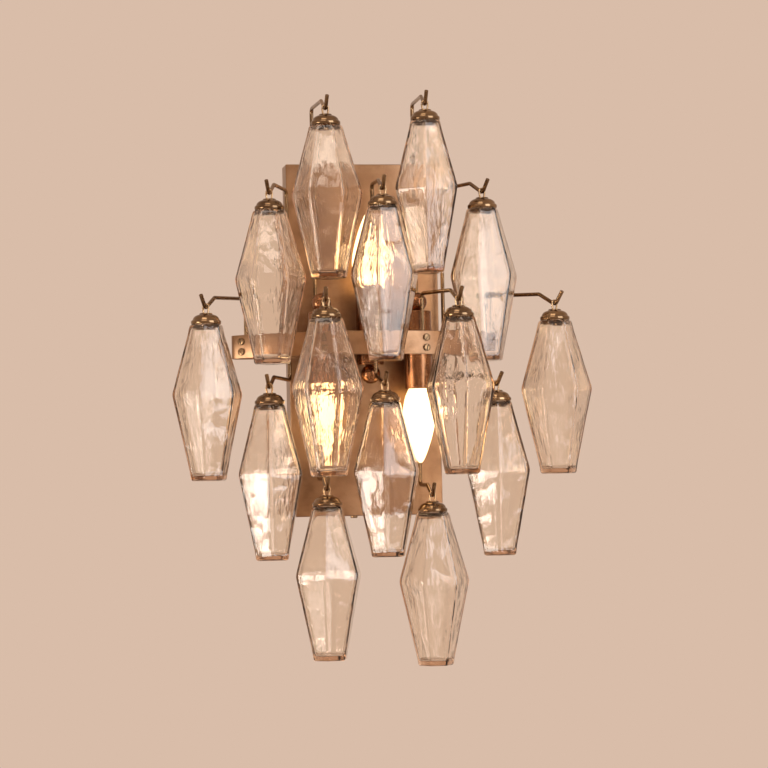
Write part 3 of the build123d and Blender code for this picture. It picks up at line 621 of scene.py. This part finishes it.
# ---- box, band and lamp bar
class SCONCE_OT_wall_box(bpy.types.Operator):
    """Folded brass box that stands against the wall"""

    bl_idname = "sconce.wall_box"
    bl_label = "Wall box"

    def execute(self, context):
        shape = cuboid(BOX_WIDTH, BOX_DEPTH, BOX_HEIGHT)
        bmesh.ops.translate(shape, vec=at(0, BOX_DEPTH / 2, 0), verts=shape.verts)
        back = [face for face in shape.faces if face.normal.y > 0.9]
        bmesh.ops.delete(shape, geom=back, context="FACES")
        folds = [edge for edge in shape.edges if len(edge.link_faces) == 2]
        round_edges(shape, folds, context.scene.sconce_edges.box_fold, BOX_FOLD_STEPS)
        bmesh.ops.recalc_face_normals(shape, faces=shape.faces)
        # An open shape can come out facing inwards, and its sheet is added on the inside.
        inside = at(0, BOX_DEPTH / 3, 0)
        if sum(face.normal.dot(face.calc_center_median() - inside) for face in shape.faces) < 0:
            bmesh.ops.reverse_faces(shape, faces=shape.faces)
        piece = as_piece("wall_box_folded", smooth(plain_mesh("wall_box", shape)), "box_brass",
                         stands_for=("back_box",))
        wall = piece.modifiers.new("sheet", "SOLIDIFY")
        wall.thickness = BOX_SHEET * MM
        wall.offset = -1.0
        wall.use_even_offset = True
        return {"FINISHED"}


def band_path():
    """Stations round the band's middle line: place and outward normal in plan, in mm."""
    mid = BAND_SHEET / 2
    bow, end = BOW_RADIUS - mid, BAND_END_RADIUS - mid
    lean = math.atan2(END_X, END_DEPTH - BOW_CENTRE)
    stations = []

    def arc(x, depth, radius, start, finish):
        sweep = abs(finish - start)
        count = max(BAND_LEAST, int(sweep * radius / BAND_STEP), int(sweep / BAND_TURN))
        for k in range(count):
            angle = start + (finish - start) * k / count
            nx, nd = math.sin(angle), math.cos(angle)
            stations.append((x + radius * nx, depth + radius * nd, nx, nd))

    arc(0, BOW_CENTRE, bow, -lean, lean)
    arc(END_X, END_DEPTH, end, lean, math.pi)
    count = int(2 * END_X / BAND_BACK_STEP)
    for k in range(count):
        stations.append((END_X - 2 * END_X * k / count, BAND_BACK + mid, 0.0, -1.0))
    arc(-END_X, END_DEPTH, end, math.pi, 2 * math.pi - lean)
    return stations


class SCONCE_OT_band(bpy.types.Operator):
    """Bow-shaped loop of flat bar with eased edges"""

    bl_idname = "sconce.band"
    bl_label = "Band"

    def execute(self, context):
        ease = context.scene.sconce_edges.band_ease / MM
        u, v = BAND_SHEET / 2 - ease, BAND_HEIGHT / 2 - ease
        section = []
        for centre_u, centre_v, start in ((u, v, 0), (-u, v, 90), (-u, -v, 180), (u, -v, 270)):
            section += arc_points(centre_u, centre_v, ease, start, start + 90, BAND_EDGE_STEPS)
        rings = []
        for x, depth, nx, nd in band_path():
            rings.append([at(x + nx * u, depth + nd * u, BAND_MIDDLE + v) for u, v in section])
        shape = bmesh.new()
        add_rings(shape, rings, closed=True)
        as_piece("band_loop", smooth(mesh_of("band_loop", shape)), "band_brass",
                 stands_for=("band",))
        return {"FINISHED"}


class SCONCE_OT_lamp_bar(bpy.types.Operator):
    """Round-ended bar that carries the three lamp tubes"""

    bl_idname = "sconce.lamp_bar"
    bl_label = "Lamp bar"

    def execute(self, context):
        ease = context.scene.sconce_edges.bar_ease / MM
        end = BAR_HALF - BAR_END_RADIUS
        rings = []
        for depth, inset in ((LAMP_BAR_BACK, ease), (LAMP_BAR_BACK + ease, 0.0),
                             (LAMP_BAR_FRONT - ease, 0.0), (LAMP_BAR_FRONT, ease)):
            outline = []
            for centre, start in ((end, -90), (-end, 90)):
                outline += arc_points(centre, BAND_MIDDLE, BAR_END_RADIUS - inset, start, start + 180,
                                      BAR_END_STEPS)
            rings.append([at(x, depth, z) for x, z in outline])
        shape = bmesh.new()
        made = add_rings(shape, rings)
        shape.faces.new(made[0])
        shape.faces.new(made[-1])
        as_piece("lamp_bar_round_ended", smooth(mesh_of("lamp_bar", shape)), "band_brass",
                 stands_for=("lamp_bar",))
        return {"FINISHED"}


# ---- rods and screws
def bent_bar_tree():
    """Geometry nodes: rounds a line's corners by each point's radius and gives it a round section."""
    tree, given = start_tree("bent_bar", (
        ("Line", "Geometry", None), ("Bar radius", "Float", 0.002), ("Sides", "Int", 20),
        ("Bend steps", "Int", 10), ("Material", "Material", None)), "Bar")
    bends = add(tree, "GeometryNodeInputRadius").outputs[0]
    rounded = add(tree, "GeometryNodeFilletCurve",
                  {"Curve": given["Line"], "Count": given["Bend steps"], "Radius": bends}, mode="POLY")
    even = add(tree, "GeometryNodeSetCurveRadius", {"Curve": rounded.outputs[0], "Radius": 1.0})
    circle = add(tree, "GeometryNodeCurvePrimitiveCircle",
                 {"Resolution": given["Sides"], "Radius": given["Bar radius"]})
    bar = add(tree, "GeometryNodeCurveToMesh",
              {"Curve": even.outputs[0], "Profile Curve": circle.outputs[0], "Fill Caps": True})
    return end_tree(tree, given, bar)


def bent_bar(name, corners, bends, radius, finish, sides=20, steps=10):
    """The mesh of a bar along corners in metres, with a bend radius in mm for each inner corner."""
    tree = bpy.data.node_groups.get("bent_bar") or bent_bar_tree()
    line = bpy.data.curves.new(name, "CURVE")
    line.dimensions = "3D"
    spline = line.splines.new("POLY")
    spline.points.add(len(corners) - 1)
    for point, corner, bend in zip(spline.points, corners, (0.0, *bends, 0.0)):
        point.co = (*corner, 1.0)
        point.radius = bend * MM
    mesh = run_nodes(name, line, tree,
                     {"Bar radius": radius * MM, "Sides": sides, "Bend steps": steps,
                      "Material": material(finish)})
    return smooth(mesh, 50)


class SCONCE_OT_rods(bpy.types.Operator):
    """Nine bent rods with their blocks"""

    bl_idname = "sconce.rods"
    bl_label = "Bent rods"

    def execute(self, context):
        edge = context.scene.sconce_edges.block_edge / MM
        for name, x, on_bow, hooks in RODS:
            place, depth, _ = rod_seat(x, on_bow)
            upper = hook_corners(x, depth, hooks[0])
            bends = [HOOK_BEND] + [ROD_BEND] * (len(upper) - 2)
            corners = upper[::-1]
            if len(hooks) == 1:
                corners.append(at(x, depth, BAND_MIDDLE - BLOCK_HEIGHT / 2))
            else:
                lower = hook_corners(x, depth, hooks[1])
                bends += [ROD_BEND] * (len(lower) - 2) + [HOOK_BEND]
                corners += lower
            bar = bent_bar(name, corners, bends, ROD_RADIUS, "rod_brass")
            as_piece(f"{name}_bar", bar, "rod_brass", stands_for=(name,))
            seat = Matrix.Translation(at(0, ROD_RADIUS - ROD_GROOVE + BLOCK_DEPTH / 2, 0))
            block = rounded_block(BLOCK_WIDTH, BLOCK_DEPTH, BLOCK_HEIGHT, edge)
            mesh = smooth(mesh_of(f"{name}_block", block, place @ seat))
            as_piece(f"{name}_block", mesh, "rod_brass", stands_for=(name,))
        return {"FINISHED"}


HEAD_WALL, HEAD_CROWN, HEAD_FLAT = 0.45, 1.3, 0.45   # share of the height, mm, share of the radius
SLOT_LENGTH, SLOT_WIDTH = 2.4, 0.34                  # shares of the head's radius
SLOT_HEIGHT, SLOT_EDGE = 2.6, 0.05                   # of the cutter, half of which goes into the head
SHANK_CHAMFER, HEAD_STEP = 0.4, 0.05


def slotted_screw(radius, head_radius, head_height, shank):
    """Pan-head screw with a milled slot: the head's underside is on Z = 0, the shank points down."""
    wall = head_height * HEAD_WALL
    crown = arc_points(head_radius - HEAD_CROWN, wall, HEAD_CROWN, 20, 70, 3)
    profile = [(0, -shank), (radius - SHANK_CHAMFER, -shank), (radius, SHANK_CHAMFER - shank),
               (radius, 0), (head_radius, 0), (head_radius, wall)]
    profile += [(r, min(z, head_height - HEAD_STEP)) for r, z in crown]
    profile += [(head_radius * HEAD_FLAT, head_height), (0, head_height)]
    body = linked("screw", mesh_of("screw", turned(profile, SCREW_SIDES)))
    slot = rounded_block(head_radius * SLOT_LENGTH, head_radius * SLOT_WIDTH, SLOT_HEIGHT, SLOT_EDGE, 1)
    cutter = linked("slot", mesh_of("slot", slot, Matrix.Translation((0, 0, head_height * MM))))
    cut = body.modifiers.new("slot", "BOOLEAN")
    cut.object, cut.operation, cut.solver = cutter, "DIFFERENCE", "EXACT"
    mesh = evaluated(body)
    bpy.data.objects.remove(cutter)
    return smooth(mesh, 30)


def screw_tree():
    """Geometry nodes: sets one screw on each point, faced and turned as the point says."""
    tree, given = start_tree("set_screws", (
        ("Points", "Geometry", None), ("Screw", "Object", None), ("Material", "Material", None)), "Screws")
    screw = add(tree, "GeometryNodeObjectInfo", {"Object": given["Screw"]})
    spin = add(tree, "ShaderNodeCombineXYZ", {"Z": add_attribute(tree, "turn", "FLOAT")})
    facing = add_attribute(tree, "facing", "FLOAT_VECTOR")
    aligned = add(tree, "FunctionNodeAlignRotationToVector", {"Vector": facing}, axis="Z")
    turned = add(tree, "FunctionNodeRotateRotation",
                 {"Rotation": aligned.outputs[0], "Rotate By": spin.outputs[0]}, rotation_space="LOCAL")
    points = add(tree, "GeometryNodeMeshToPoints", {"Mesh": given["Points"]})
    placed = add(tree, "GeometryNodeInstanceOnPoints",
                 {"Points": points.outputs[0], "Instance": screw.outputs["Geometry"],
                  "Rotation": turned.outputs[0]})
    return end_tree(tree, given, placed)


def set_screws(node, places, size, shank):
    """Screws of one kind at (place, facing, turn in degrees), as one piece for a node."""
    tree = bpy.data.node_groups.get("set_screws") or screw_tree()
    name = f"{node}_slotted"
    mesh = bpy.data.meshes.new(name)
    mesh.from_pydata([place for place, _, _ in places], [], [])
    mesh.attributes.new("facing", "FLOAT_VECTOR", "POINT")
    mesh.attributes.new("turn", "FLOAT", "POINT")
    for i, (_, direction, degrees) in enumerate(places):
        mesh.attributes["facing"].data[i].vector = direction
        mesh.attributes["turn"].data[i].value = math.radians(degrees)
    pattern = linked("screw_pattern", slotted_screw(*size, shank))
    result = run_nodes(name, mesh, tree, {"Screw": pattern, "Material": material("rod_brass")})
    bpy.data.objects.remove(pattern)
    as_piece(name, result, "rod_brass", stands_for=(node,))


# Slotted screws away from the rods: node, size, shank, x of each, depth, height, facing, and the turn
# of a screw at x = 0, to which each adds its x in degrees, so that no two slots line up.
OTHER_SCREWS = (
    ("band_screws", LARGE_SCREW, 25.7, (-FIXING_X, FIXING_X), LAMP_BAR_FRONT, BAND_MIDDLE, (0, -1, 0), 30),
    ("cover_screws", LARGE_SCREW, 5.5, (-COVER_SCREW_X, COVER_SCREW_X), COVER_SCREW_DEPTH,
     -BOX_HEIGHT / 2, (0, 0, -1), 20),
    ("sleeve_screws", SMALL_SCREW, 6.7, (-LAMP_X, 0, LAMP_X), LAMP_BAR_BACK, BAND_MIDDLE, (0, 1, 0), 40),
)
ROD_SCREW_SHANK, ROD_SCREW_TURN, ROD_SCREW_TURN_STEP = 5.5, 35, 28


class SCONCE_OT_screws(bpy.types.Operator):
    """All slotted screws: rods, band, cover and lamp tubes"""

    bl_idname = "sconce.screws"
    bl_label = "Screws"

    def execute(self, context):
        places = []
        for count, (_, x, on_bow, _) in enumerate(RODS):
            place, _, outside = rod_seat(x, on_bow)
            facing = place.to_3x3() @ Vector((0, -1, 0))
            for step, rise in enumerate((-SCREW_RISE, SCREW_RISE)):
                turn = ROD_SCREW_TURN + ROD_SCREW_TURN_STEP * ((count + 2 * step) % 3)
                places.append((place @ at(0, outside, rise), facing, turn))
        set_screws("rod_screws", places, LARGE_SCREW, ROD_SCREW_SHANK)
        for node, size, shank, across, depth, height, facing, turn in OTHER_SCREWS:
            places = [(at(x, depth, height), facing, turn + x) for x in across]
            set_screws(node, places, size, shank)
        return {"FINISHED"}


# ---- lamps
TUBE_CHAMFER, TUBE_LIP = 0.2, 0.4


def lamp_group(name, profile, finish, nodes):
    """One turned piece for the three lamps, from a profile that starts at a tube's blind end."""
    shape = bmesh.new()
    for x, end, upward in LAMPS:
        place = Matrix.Translation(at(x, LAMP_DEPTH, end))
        if not upward:
            place @= Matrix.Rotation(math.pi, 4, "X")
        part = turned(profile, LAMP_SIDES)
        part.transform(place)
        take_in(shape, plain_mesh("held", part))
    as_piece(name, smooth(mesh_of(name, shape)), finish, stands_for=nodes)


class SCONCE_OT_lamps(bpy.types.Operator):
    """Lamp tubes, ball ends, candle bulbs and leads"""

    bl_idname = "sconce.lamps"
    bl_label = "Lamps"

    def execute(self, context):
        r, bore, length, lip = SLEEVE_RADIUS, SLEEVE_RADIUS - SLEEVE_WALL, SLEEVE_LENGTH, TUBE_LIP
        tube = [(bore, 0), (r - TUBE_CHAMFER, 0), (r, TUBE_CHAMFER), (r, length - lip),
                (r - lip * 0.3, length - lip * 0.3), (r - lip, length), (bore + lip * 0.5, length),
                (bore, length - lip * 0.5), (bore, 0)]
        lamp_group("lamp_tubes", tube, "tube_brass", ("sleeves",))
        ball = [(0, 0), *((r - inside, z) for inside, z in BALL_FLANGE), *BALL_NECK,
                *arc_points(0, -BALL_CENTRE, BALL_RADIUS, 60, -90, BALL_STEPS)]
        lamp_group("ball_ends", ball, "tube_brass", ("ball_finials",))
        bulb = [(0, length + BULB_OUTLINE[0][1])]
        bulb += [(max(a, 0.0), length + b) for a, b in smooth_profile(BULB_OUTLINE, BULB_STEPS)]
        bulb.append((0, length + BULB_OUTLINE[-1][1]))
        lamp_group("candle_bulbs", bulb, "bulb", ("bulbs",))
        shape = bmesh.new()
        for x, pole, start in LEADS:
            corners = [at(x, LAMP_DEPTH, start), at(x, LAMP_DEPTH, LEAD_TURN),
                       at(x, LEAD_DEPTH, LEAD_TURN), at(pole, LEAD_DEPTH, TERMINAL_HEIGHT)]
            take_in(shape, bent_bar("lead", corners, LEAD_BENDS, LEAD_RADIUS, "sleeving",
                                    sides=THIN_SIDES))
        as_piece("sleeved_leads", smooth(mesh_of("leads", shape), 50), "sleeving",
                 stands_for=("lamp_leads",))
        return {"FINISHED"}


# ---- glass drops and caps
OUTER_CORNER, INNER_CORNER = 1.5, 5.0      # radius of the rounded corners of the section, in mm
RIPPLE_FADE = 8.0                          # the ripples die out over this length at each end, in mm


def outline_radius(below):
    """Radius over the corners at a distance below the cap's rim."""
    for (r0, z0), (r1, z1) in zip(GLASS_OUTLINE, GLASS_OUTLINE[1:]):
        if below <= z1:
            return r0 + (r1 - r0) * (below - z0) / (z1 - z0)
    return GLASS_OUTLINE[-1][0]


def hex_ring(radius, height, corner):
    """Ring of a six-sided section with rounded corners; the radius is over the sharp corners."""
    corner = min(corner, radius * 0.45)
    centre = radius - corner / math.cos(math.radians(30))
    arcs = []
    for n in range(6):
        u, v = centre * math.cos(math.radians(60 * n)), centre * math.sin(math.radians(60 * n))
        arc = arc_points(u, v, corner, 60 * n - 30, 60 * n + 30, CORNER_STEPS - 1)
        arcs.append([Vector((x, y, height)) for x, y in arc])
    ring = []
    for arc, after in zip(arcs, arcs[1:] + arcs[:1]):
        ring += arc
        ring += [arc[-1].lerp(after[0], k / (FACE_STEPS + 1)) for k in range(1, FACE_STEPS + 1)]
    return ring


def drop_mesh():
    """Closed mesh of a hollow drop below its cap, Z = 0 at the centre of the rod, and its ripple."""
    corner_wall = GLASS_WALL / math.cos(math.radians(30))
    floor = GLASS_LENGTH - GLASS_FLOOR
    rings, ripples = [], []

    def pole(below):
        rings.append([Vector((0, 0, -CAP_RIM - below))])
        ripples.append(0.0)

    def ring(radius, below, ripple=0.0, corner=OUTER_CORNER):
        rings.append(hex_ring(radius, -CAP_RIM - below, corner))
        ripples.append(ripple)

    def wall(start, stop, way, inset, crease, low, high, corner):
        """Rings along a wall, closer at the belly, where a crease has a depth and a width; ripples stay
        between low and high."""
        below = start
        while (stop - below) * way > 0:
            off = abs(below - BELLY)
            fade = min(1.0, (high - below) / RIPPLE_FADE, (below - low) / RIPPLE_FADE)
            radius = outline_radius(below) - inset - crease[0] * math.exp(-(off / crease[1]) ** 2)
            ring(radius, below, fade, corner)
            below += way * (FINE_STEP if off < FINE_SPAN else COARSE_STEP)

    pole(GLASS_LENGTH - FOOT_HOLLOW)
    for radius, lift in GLASS_FOOT:
        ring(radius, GLASS_LENGTH - lift)
    wall(start=153.0, stop=3.4, way=-1, inset=0.0, crease=(0.35, 1.3), low=2.4, high=153.4,
         corner=OUTER_CORNER)
    for radius, below in GLASS_MOUTH:
        ring(radius, below)
    ring(outline_radius(GLASS_TOP) - corner_wall - SHOULDER, GLASS_TOP)
    wall(start=GLASS_TOP + 2.0, stop=floor - 1.0, way=1, inset=corner_wall, crease=(0.5, 2.2), low=4.0,
         high=floor, corner=INNER_CORNER)
    for radius, lift in GLASS_INSIDE:
        ring(radius, floor - lift)
    pole(floor - FLOOR_CROWN)
    shape = bmesh.new()
    made = add_rings(shape, [[p * MM for p in points] for points in rings])
    amounts = [ripple for verts, ripple in zip(made, ripples) for _ in verts]
    mesh = mesh_of("plain_drop", shape)
    mesh.attributes.new("ripple", "FLOAT", "POINT").data.foreach_set("value", amounts)
    return mesh


def rippled_drop_tree():
    """Geometry nodes: sinks a drop's walls towards its axis by slow noise, where its ripple allows."""
    tree, given = start_tree("rippled_drop", (
        ("Drop", "Geometry", None), ("Ripple depth", "Float", 0.0003), ("Wave length", "Float", 0.01),
        ("Seed", "Int", 1), ("Material", "Material", None)), "Drop")
    place = add(tree, "GeometryNodeInputPosition").outputs[0]
    flat = add(tree, "ShaderNodeVectorMath", {0: place, 1: (-1.0, -1.0, 0.0)}, operation="MULTIPLY")
    inward = add(tree, "ShaderNodeVectorMath", {0: flat.outputs[0]}, operation="NORMALIZE")
    # The waves are drawn out downwards, as the glass is.
    drawn = add(tree, "ShaderNodeVectorMath", {0: place, 1: (1.0, 1.0, 0.36)}, operation="MULTIPLY")
    scale = add_math(tree, "DIVIDE", 1.0, given["Wave length"])
    waves = add(tree, "ShaderNodeTexNoise",
                {"Vector": drawn.outputs[0], "W": given["Seed"], "Scale": scale, "Detail": 1.5},
                noise_dimensions="4D")
    depth = add_math(tree, "MULTIPLY", waves.outputs["Fac"], given["Ripple depth"])
    weighed = add_math(tree, "MULTIPLY", depth, add_attribute(tree, "ripple", "FLOAT"))
    move = add(tree, "ShaderNodeVectorMath", {0: inward.outputs[0], "Scale": weighed}, operation="SCALE")
    moved = add(tree, "GeometryNodeSetPosition", {"Geometry": given["Drop"], "Offset": move.outputs[0]})
    return end_tree(tree, given, moved)


class SCONCE_OT_glass(bpy.types.Operator):
    """Fourteen hollow six-sided drops, each with its own ripples"""

    bl_idname = "sconce.glass"
    bl_label = "Glass drops"

    def execute(self, context):
        settings = context.scene.sconce_glass
        tree, plain = rippled_drop_tree(), drop_mesh()
        for number, degrees, place, _ in each_hook():
            mesh = run_nodes(f"plain_{number:02d}", plain.copy(), tree,
                             {"Ripple depth": settings.ripple, "Wave length": settings.wave,
                              "Seed": number, "Material": material("glass")})
            # The rings start at a corner on X, so a quarter turn and the hook's own put it in front.
            turn = Matrix.Rotation(math.radians(degrees - 90), 4, "Z")
            mesh.transform(Matrix.Translation(place) @ turn)
            as_piece(f"glass_{number:02d}", smooth(mesh, 80), "glass", body=f"drop_{number:02d}",
                     stands_for=(f"glass_drop_{number:02d}",))
        return {"FINISHED"}


class SCONCE_OT_caps(bpy.types.Operator):
    """Domed caps with their wire loops, stems and cross bars"""

    bl_idname = "sconce.caps"
    bl_label = "Caps"

    def execute(self, context):
        line = [(-x, z) for x, z, _ in LOOP_HALF] + [(x, z) for x, z, _ in reversed(LOOP_HALF)]
        bends = [bend for _, _, bend in LOOP_HALF[1:]]
        for number, _, place, heading in each_hook():
            spot = Matrix.Translation(place) @ Matrix.Rotation(heading, 4, "Z")
            dome = mesh_of("cap", turned(CAP_OUTLINE, CAP_SIDES), spot)
            bar_place = spot @ Matrix.Translation(at(0, 0, CROSS_BAR_HEIGHT))
            bar = mesh_of("cross_bar", rounded_block(*CROSS_BAR), bar_place)
            loop = bent_bar(f"loop_{number:02d}", [spot @ at(x, 0, z) for x, z in line], bends + bends[::-1],
                            WIRE_RADIUS, "wire_brass", sides=THIN_SIDES, steps=LOOP_STEPS)
            for part, mesh, finish in (("dome", smooth(dome, 40), "cap_brass"),
                                       ("cross_bar", smooth(bar), "cap_brass"),
                                       ("loop", loop, "wire_brass")):
                as_piece(f"cap_{part}_{number:02d}", mesh, finish, body=f"drop_{number:02d}",
                         stands_for=(f"drop_cap_{number:02d}",))
        return {"FINISHED"}


class SCONCE_OT_hidden_parts(bpy.types.Operator):
    """Finishes of the parts behind and inside that keep their solids"""

    bl_idname = "sconce.hidden_parts"
    bl_label = "Hidden parts"

    def execute(self, context):
        finishes = {
            "wall_bracket": "zinc", "terminal_block": "steatite", "lampholders": "steatite",
            "bulb_bases": "wire_brass", "spacers": "rod_brass", "band_nuts": "rod_brass",
        }
        for node, finish in finishes.items():
            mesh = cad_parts[node].data
            mesh.materials.clear()
            mesh.materials.append(material(finish))
        return {"FINISHED"}


# ---- stage, in metres
CAMERA_PLACE = (-0.4804, -2.9351, -0.1945)
CAMERA_YAW, CAMERA_PITCH, CAMERA_ROLL = 9.756, 2.868, -1.237
CAMERA_LENS, CAMERA_SENSOR = 133.2, 36.0
FLOOR_HALF = 12.0
MERGE_START, MERGE_END = 2.2, 4.5
# Area lights: name, place, target, width, height, power in watts, colour. The tall window
# to the right is what the glass faces show; the small one on the left sparkles low down.
LIGHTS = (
    ("window_softbox", (1.2, -1.85, 0.33), (0, -0.1, 0.1), 1.35, 2.3, 40.0, "#EAF0F8"),
    ("side_softbox", (-1.55, -0.62, -0.35), (0, -0.12, -0.05), 0.6, 0.7, 13.0, "#FFF8EE"),
    ("key_softbox", (-0.9, -1.7, 2.0), (0, -0.1, 0), 1.5, 1.2, 20.0, "#FFF3E6"),
)


def add_floor(settings):
    """Pale floor far below, which runs into the backdrop with no line between them."""
    made, tree, place = new_material("pale_floor")
    paler = [min(1.0, c * 1.03) for c in settings.backdrop]
    tone = add_blend(tree, add_noise(tree, place, 3.0, 2.0), settings.backdrop, paler)
    matt = add(tree, "ShaderNodeBsdfPrincipled", {"Base Color": tone, "Roughness": 0.9})
    away = add(tree, "ShaderNodeVectorMath", {0: place}, operation="LENGTH")
    merge = add_range(tree, away.outputs["Value"], MERGE_START, MERGE_END)
    share = add_math(tree, "MULTIPLY", seen_rays(tree), merge)
    even = add(tree, "ShaderNodeEmission", {"Color": opaque(settings.backdrop), "Strength": 1.0})
    surface(tree, add_mixed(tree, share, matt, even))
    low = CAD_BOX[0][2] - settings.floor_gap
    mesh = bpy.data.meshes.new("floor")
    corners = [(x * FLOOR_HALF, y * FLOOR_HALF, low) for x, y in ((-1, -1), (1, -1), (1, 1), (-1, 1))]
    mesh.from_pydata(corners, [], [(0, 1, 2, 3)])
    mesh.materials.append(made)
    floor = linked("floor", mesh)


def add_surroundings(settings):
    """The backdrop's colour where it is seen, and even white light for everything else."""
    world = bpy.data.worlds.new("surroundings")
    world.use_nodes = True
    tree = world.node_tree
    tree.nodes.clear()
    shown = add(tree, "ShaderNodeBackground", {"Color": opaque(settings.backdrop), "Strength": 1.0})
    even = add(tree, "ShaderNodeBackground",
               {"Color": opaque(linear("#FFFFFF")), "Strength": settings.daylight})
    add(tree, "ShaderNodeOutputWorld", {"Surface": add_mixed(tree, seen_rays(tree), even, shown)})
    bpy.context.scene.world = world


def add_lights():
    for name, spot, target, width, height, power, colour in LIGHTS:
        data = bpy.data.lights.new(name, "AREA")
        data.shape, data.size, data.size_y = "RECTANGLE", width, height
        data.energy, data.color = power, linear(colour)
        aim = Vector(target) - Vector(spot)
        turn = aim.to_track_quat("-Z", "Y").to_matrix().to_4x4()
        linked(name, data).matrix_world = Matrix.Translation(spot) @ turn


def add_camera():
    yaw, pitch, roll = (math.radians(v) for v in (CAMERA_YAW, CAMERA_PITCH, CAMERA_ROLL))
    ahead = Vector((math.sin(yaw) * math.cos(pitch), math.cos(yaw) * math.cos(pitch), math.sin(pitch)))
    level = Vector((math.cos(yaw), -math.sin(yaw), 0))
    above = level.cross(ahead)
    right = level * math.cos(roll) + above * math.sin(roll)
    up = above * math.cos(roll) - level * math.sin(roll)
    data = bpy.data.cameras.new("camera")
    data.lens, data.sensor_width = CAMERA_LENS, CAMERA_SENSOR
    camera = linked("camera", data)
    camera.matrix_world = (Matrix.Translation(CAMERA_PLACE)
                           @ Matrix((right, up, -ahead)).transposed().to_4x4())
    bpy.context.scene.camera = camera


class SCONCE_OT_stage(bpy.types.Operator):
    """Pale floor and surroundings, soft lights and the camera"""

    bl_idname = "sconce.stage"
    bl_label = "Stage"

    def execute(self, context):
        add_floor(context.scene.sconce_stage)
        add_surroundings(context.scene.sconce_stage)
        add_lights()
        add_camera()
        context.scene.view_settings.view_transform = "Standard"
        return {"FINISHED"}


class SCONCE_PT_panel(bpy.types.Panel):
    """Lists the steps that build the sconce"""

    bl_label = "Sconce"
    bl_idname = "SCONCE_PT_panel"
    bl_space_type = "VIEW_3D"
    bl_region_type = "UI"
    bl_category = "Sconce"

    def draw(self, context):
        for step in STEPS:
            self.layout.operator(step.bl_idname)
        for group in GROUPS:
            settings = getattr(context.scene, group)
            for prop in settings.bl_rna.properties:
                if prop.identifier not in ("rna_type", "name"):
                    self.layout.prop(settings, prop.identifier)


STEPS = (SCONCE_OT_stage, SCONCE_OT_wall_box, SCONCE_OT_band, SCONCE_OT_lamp_bar, SCONCE_OT_rods,
         SCONCE_OT_screws, SCONCE_OT_lamps, SCONCE_OT_glass, SCONCE_OT_caps, SCONCE_OT_hidden_parts)
GROUPS = {"sconce_edges": SconceEdges, "sconce_metal": SconceMetal, "sconce_glass": SconceGlass,
          "sconce_lamp": SconceLamp, "sconce_stage": SconceStage}
CLASSES = (*GROUPS.values(), *STEPS, SCONCE_PT_panel)


def register():
    for cls in CLASSES:
        bpy.utils.register_class(cls)
    for name, group in GROUPS.items():
        setattr(bpy.types.Scene, name, bpy.props.PointerProperty(type=group))


def unregister():
    for name in GROUPS:
        delattr(bpy.types.Scene, name)
    for cls in reversed(CLASSES):
        bpy.utils.unregister_class(cls)


def main():
    register()
    for step in STEPS:
        getattr(bpy.ops.sconce, step.bl_idname.removeprefix("sconce."))()


if __name__ == "__main__":
    main()
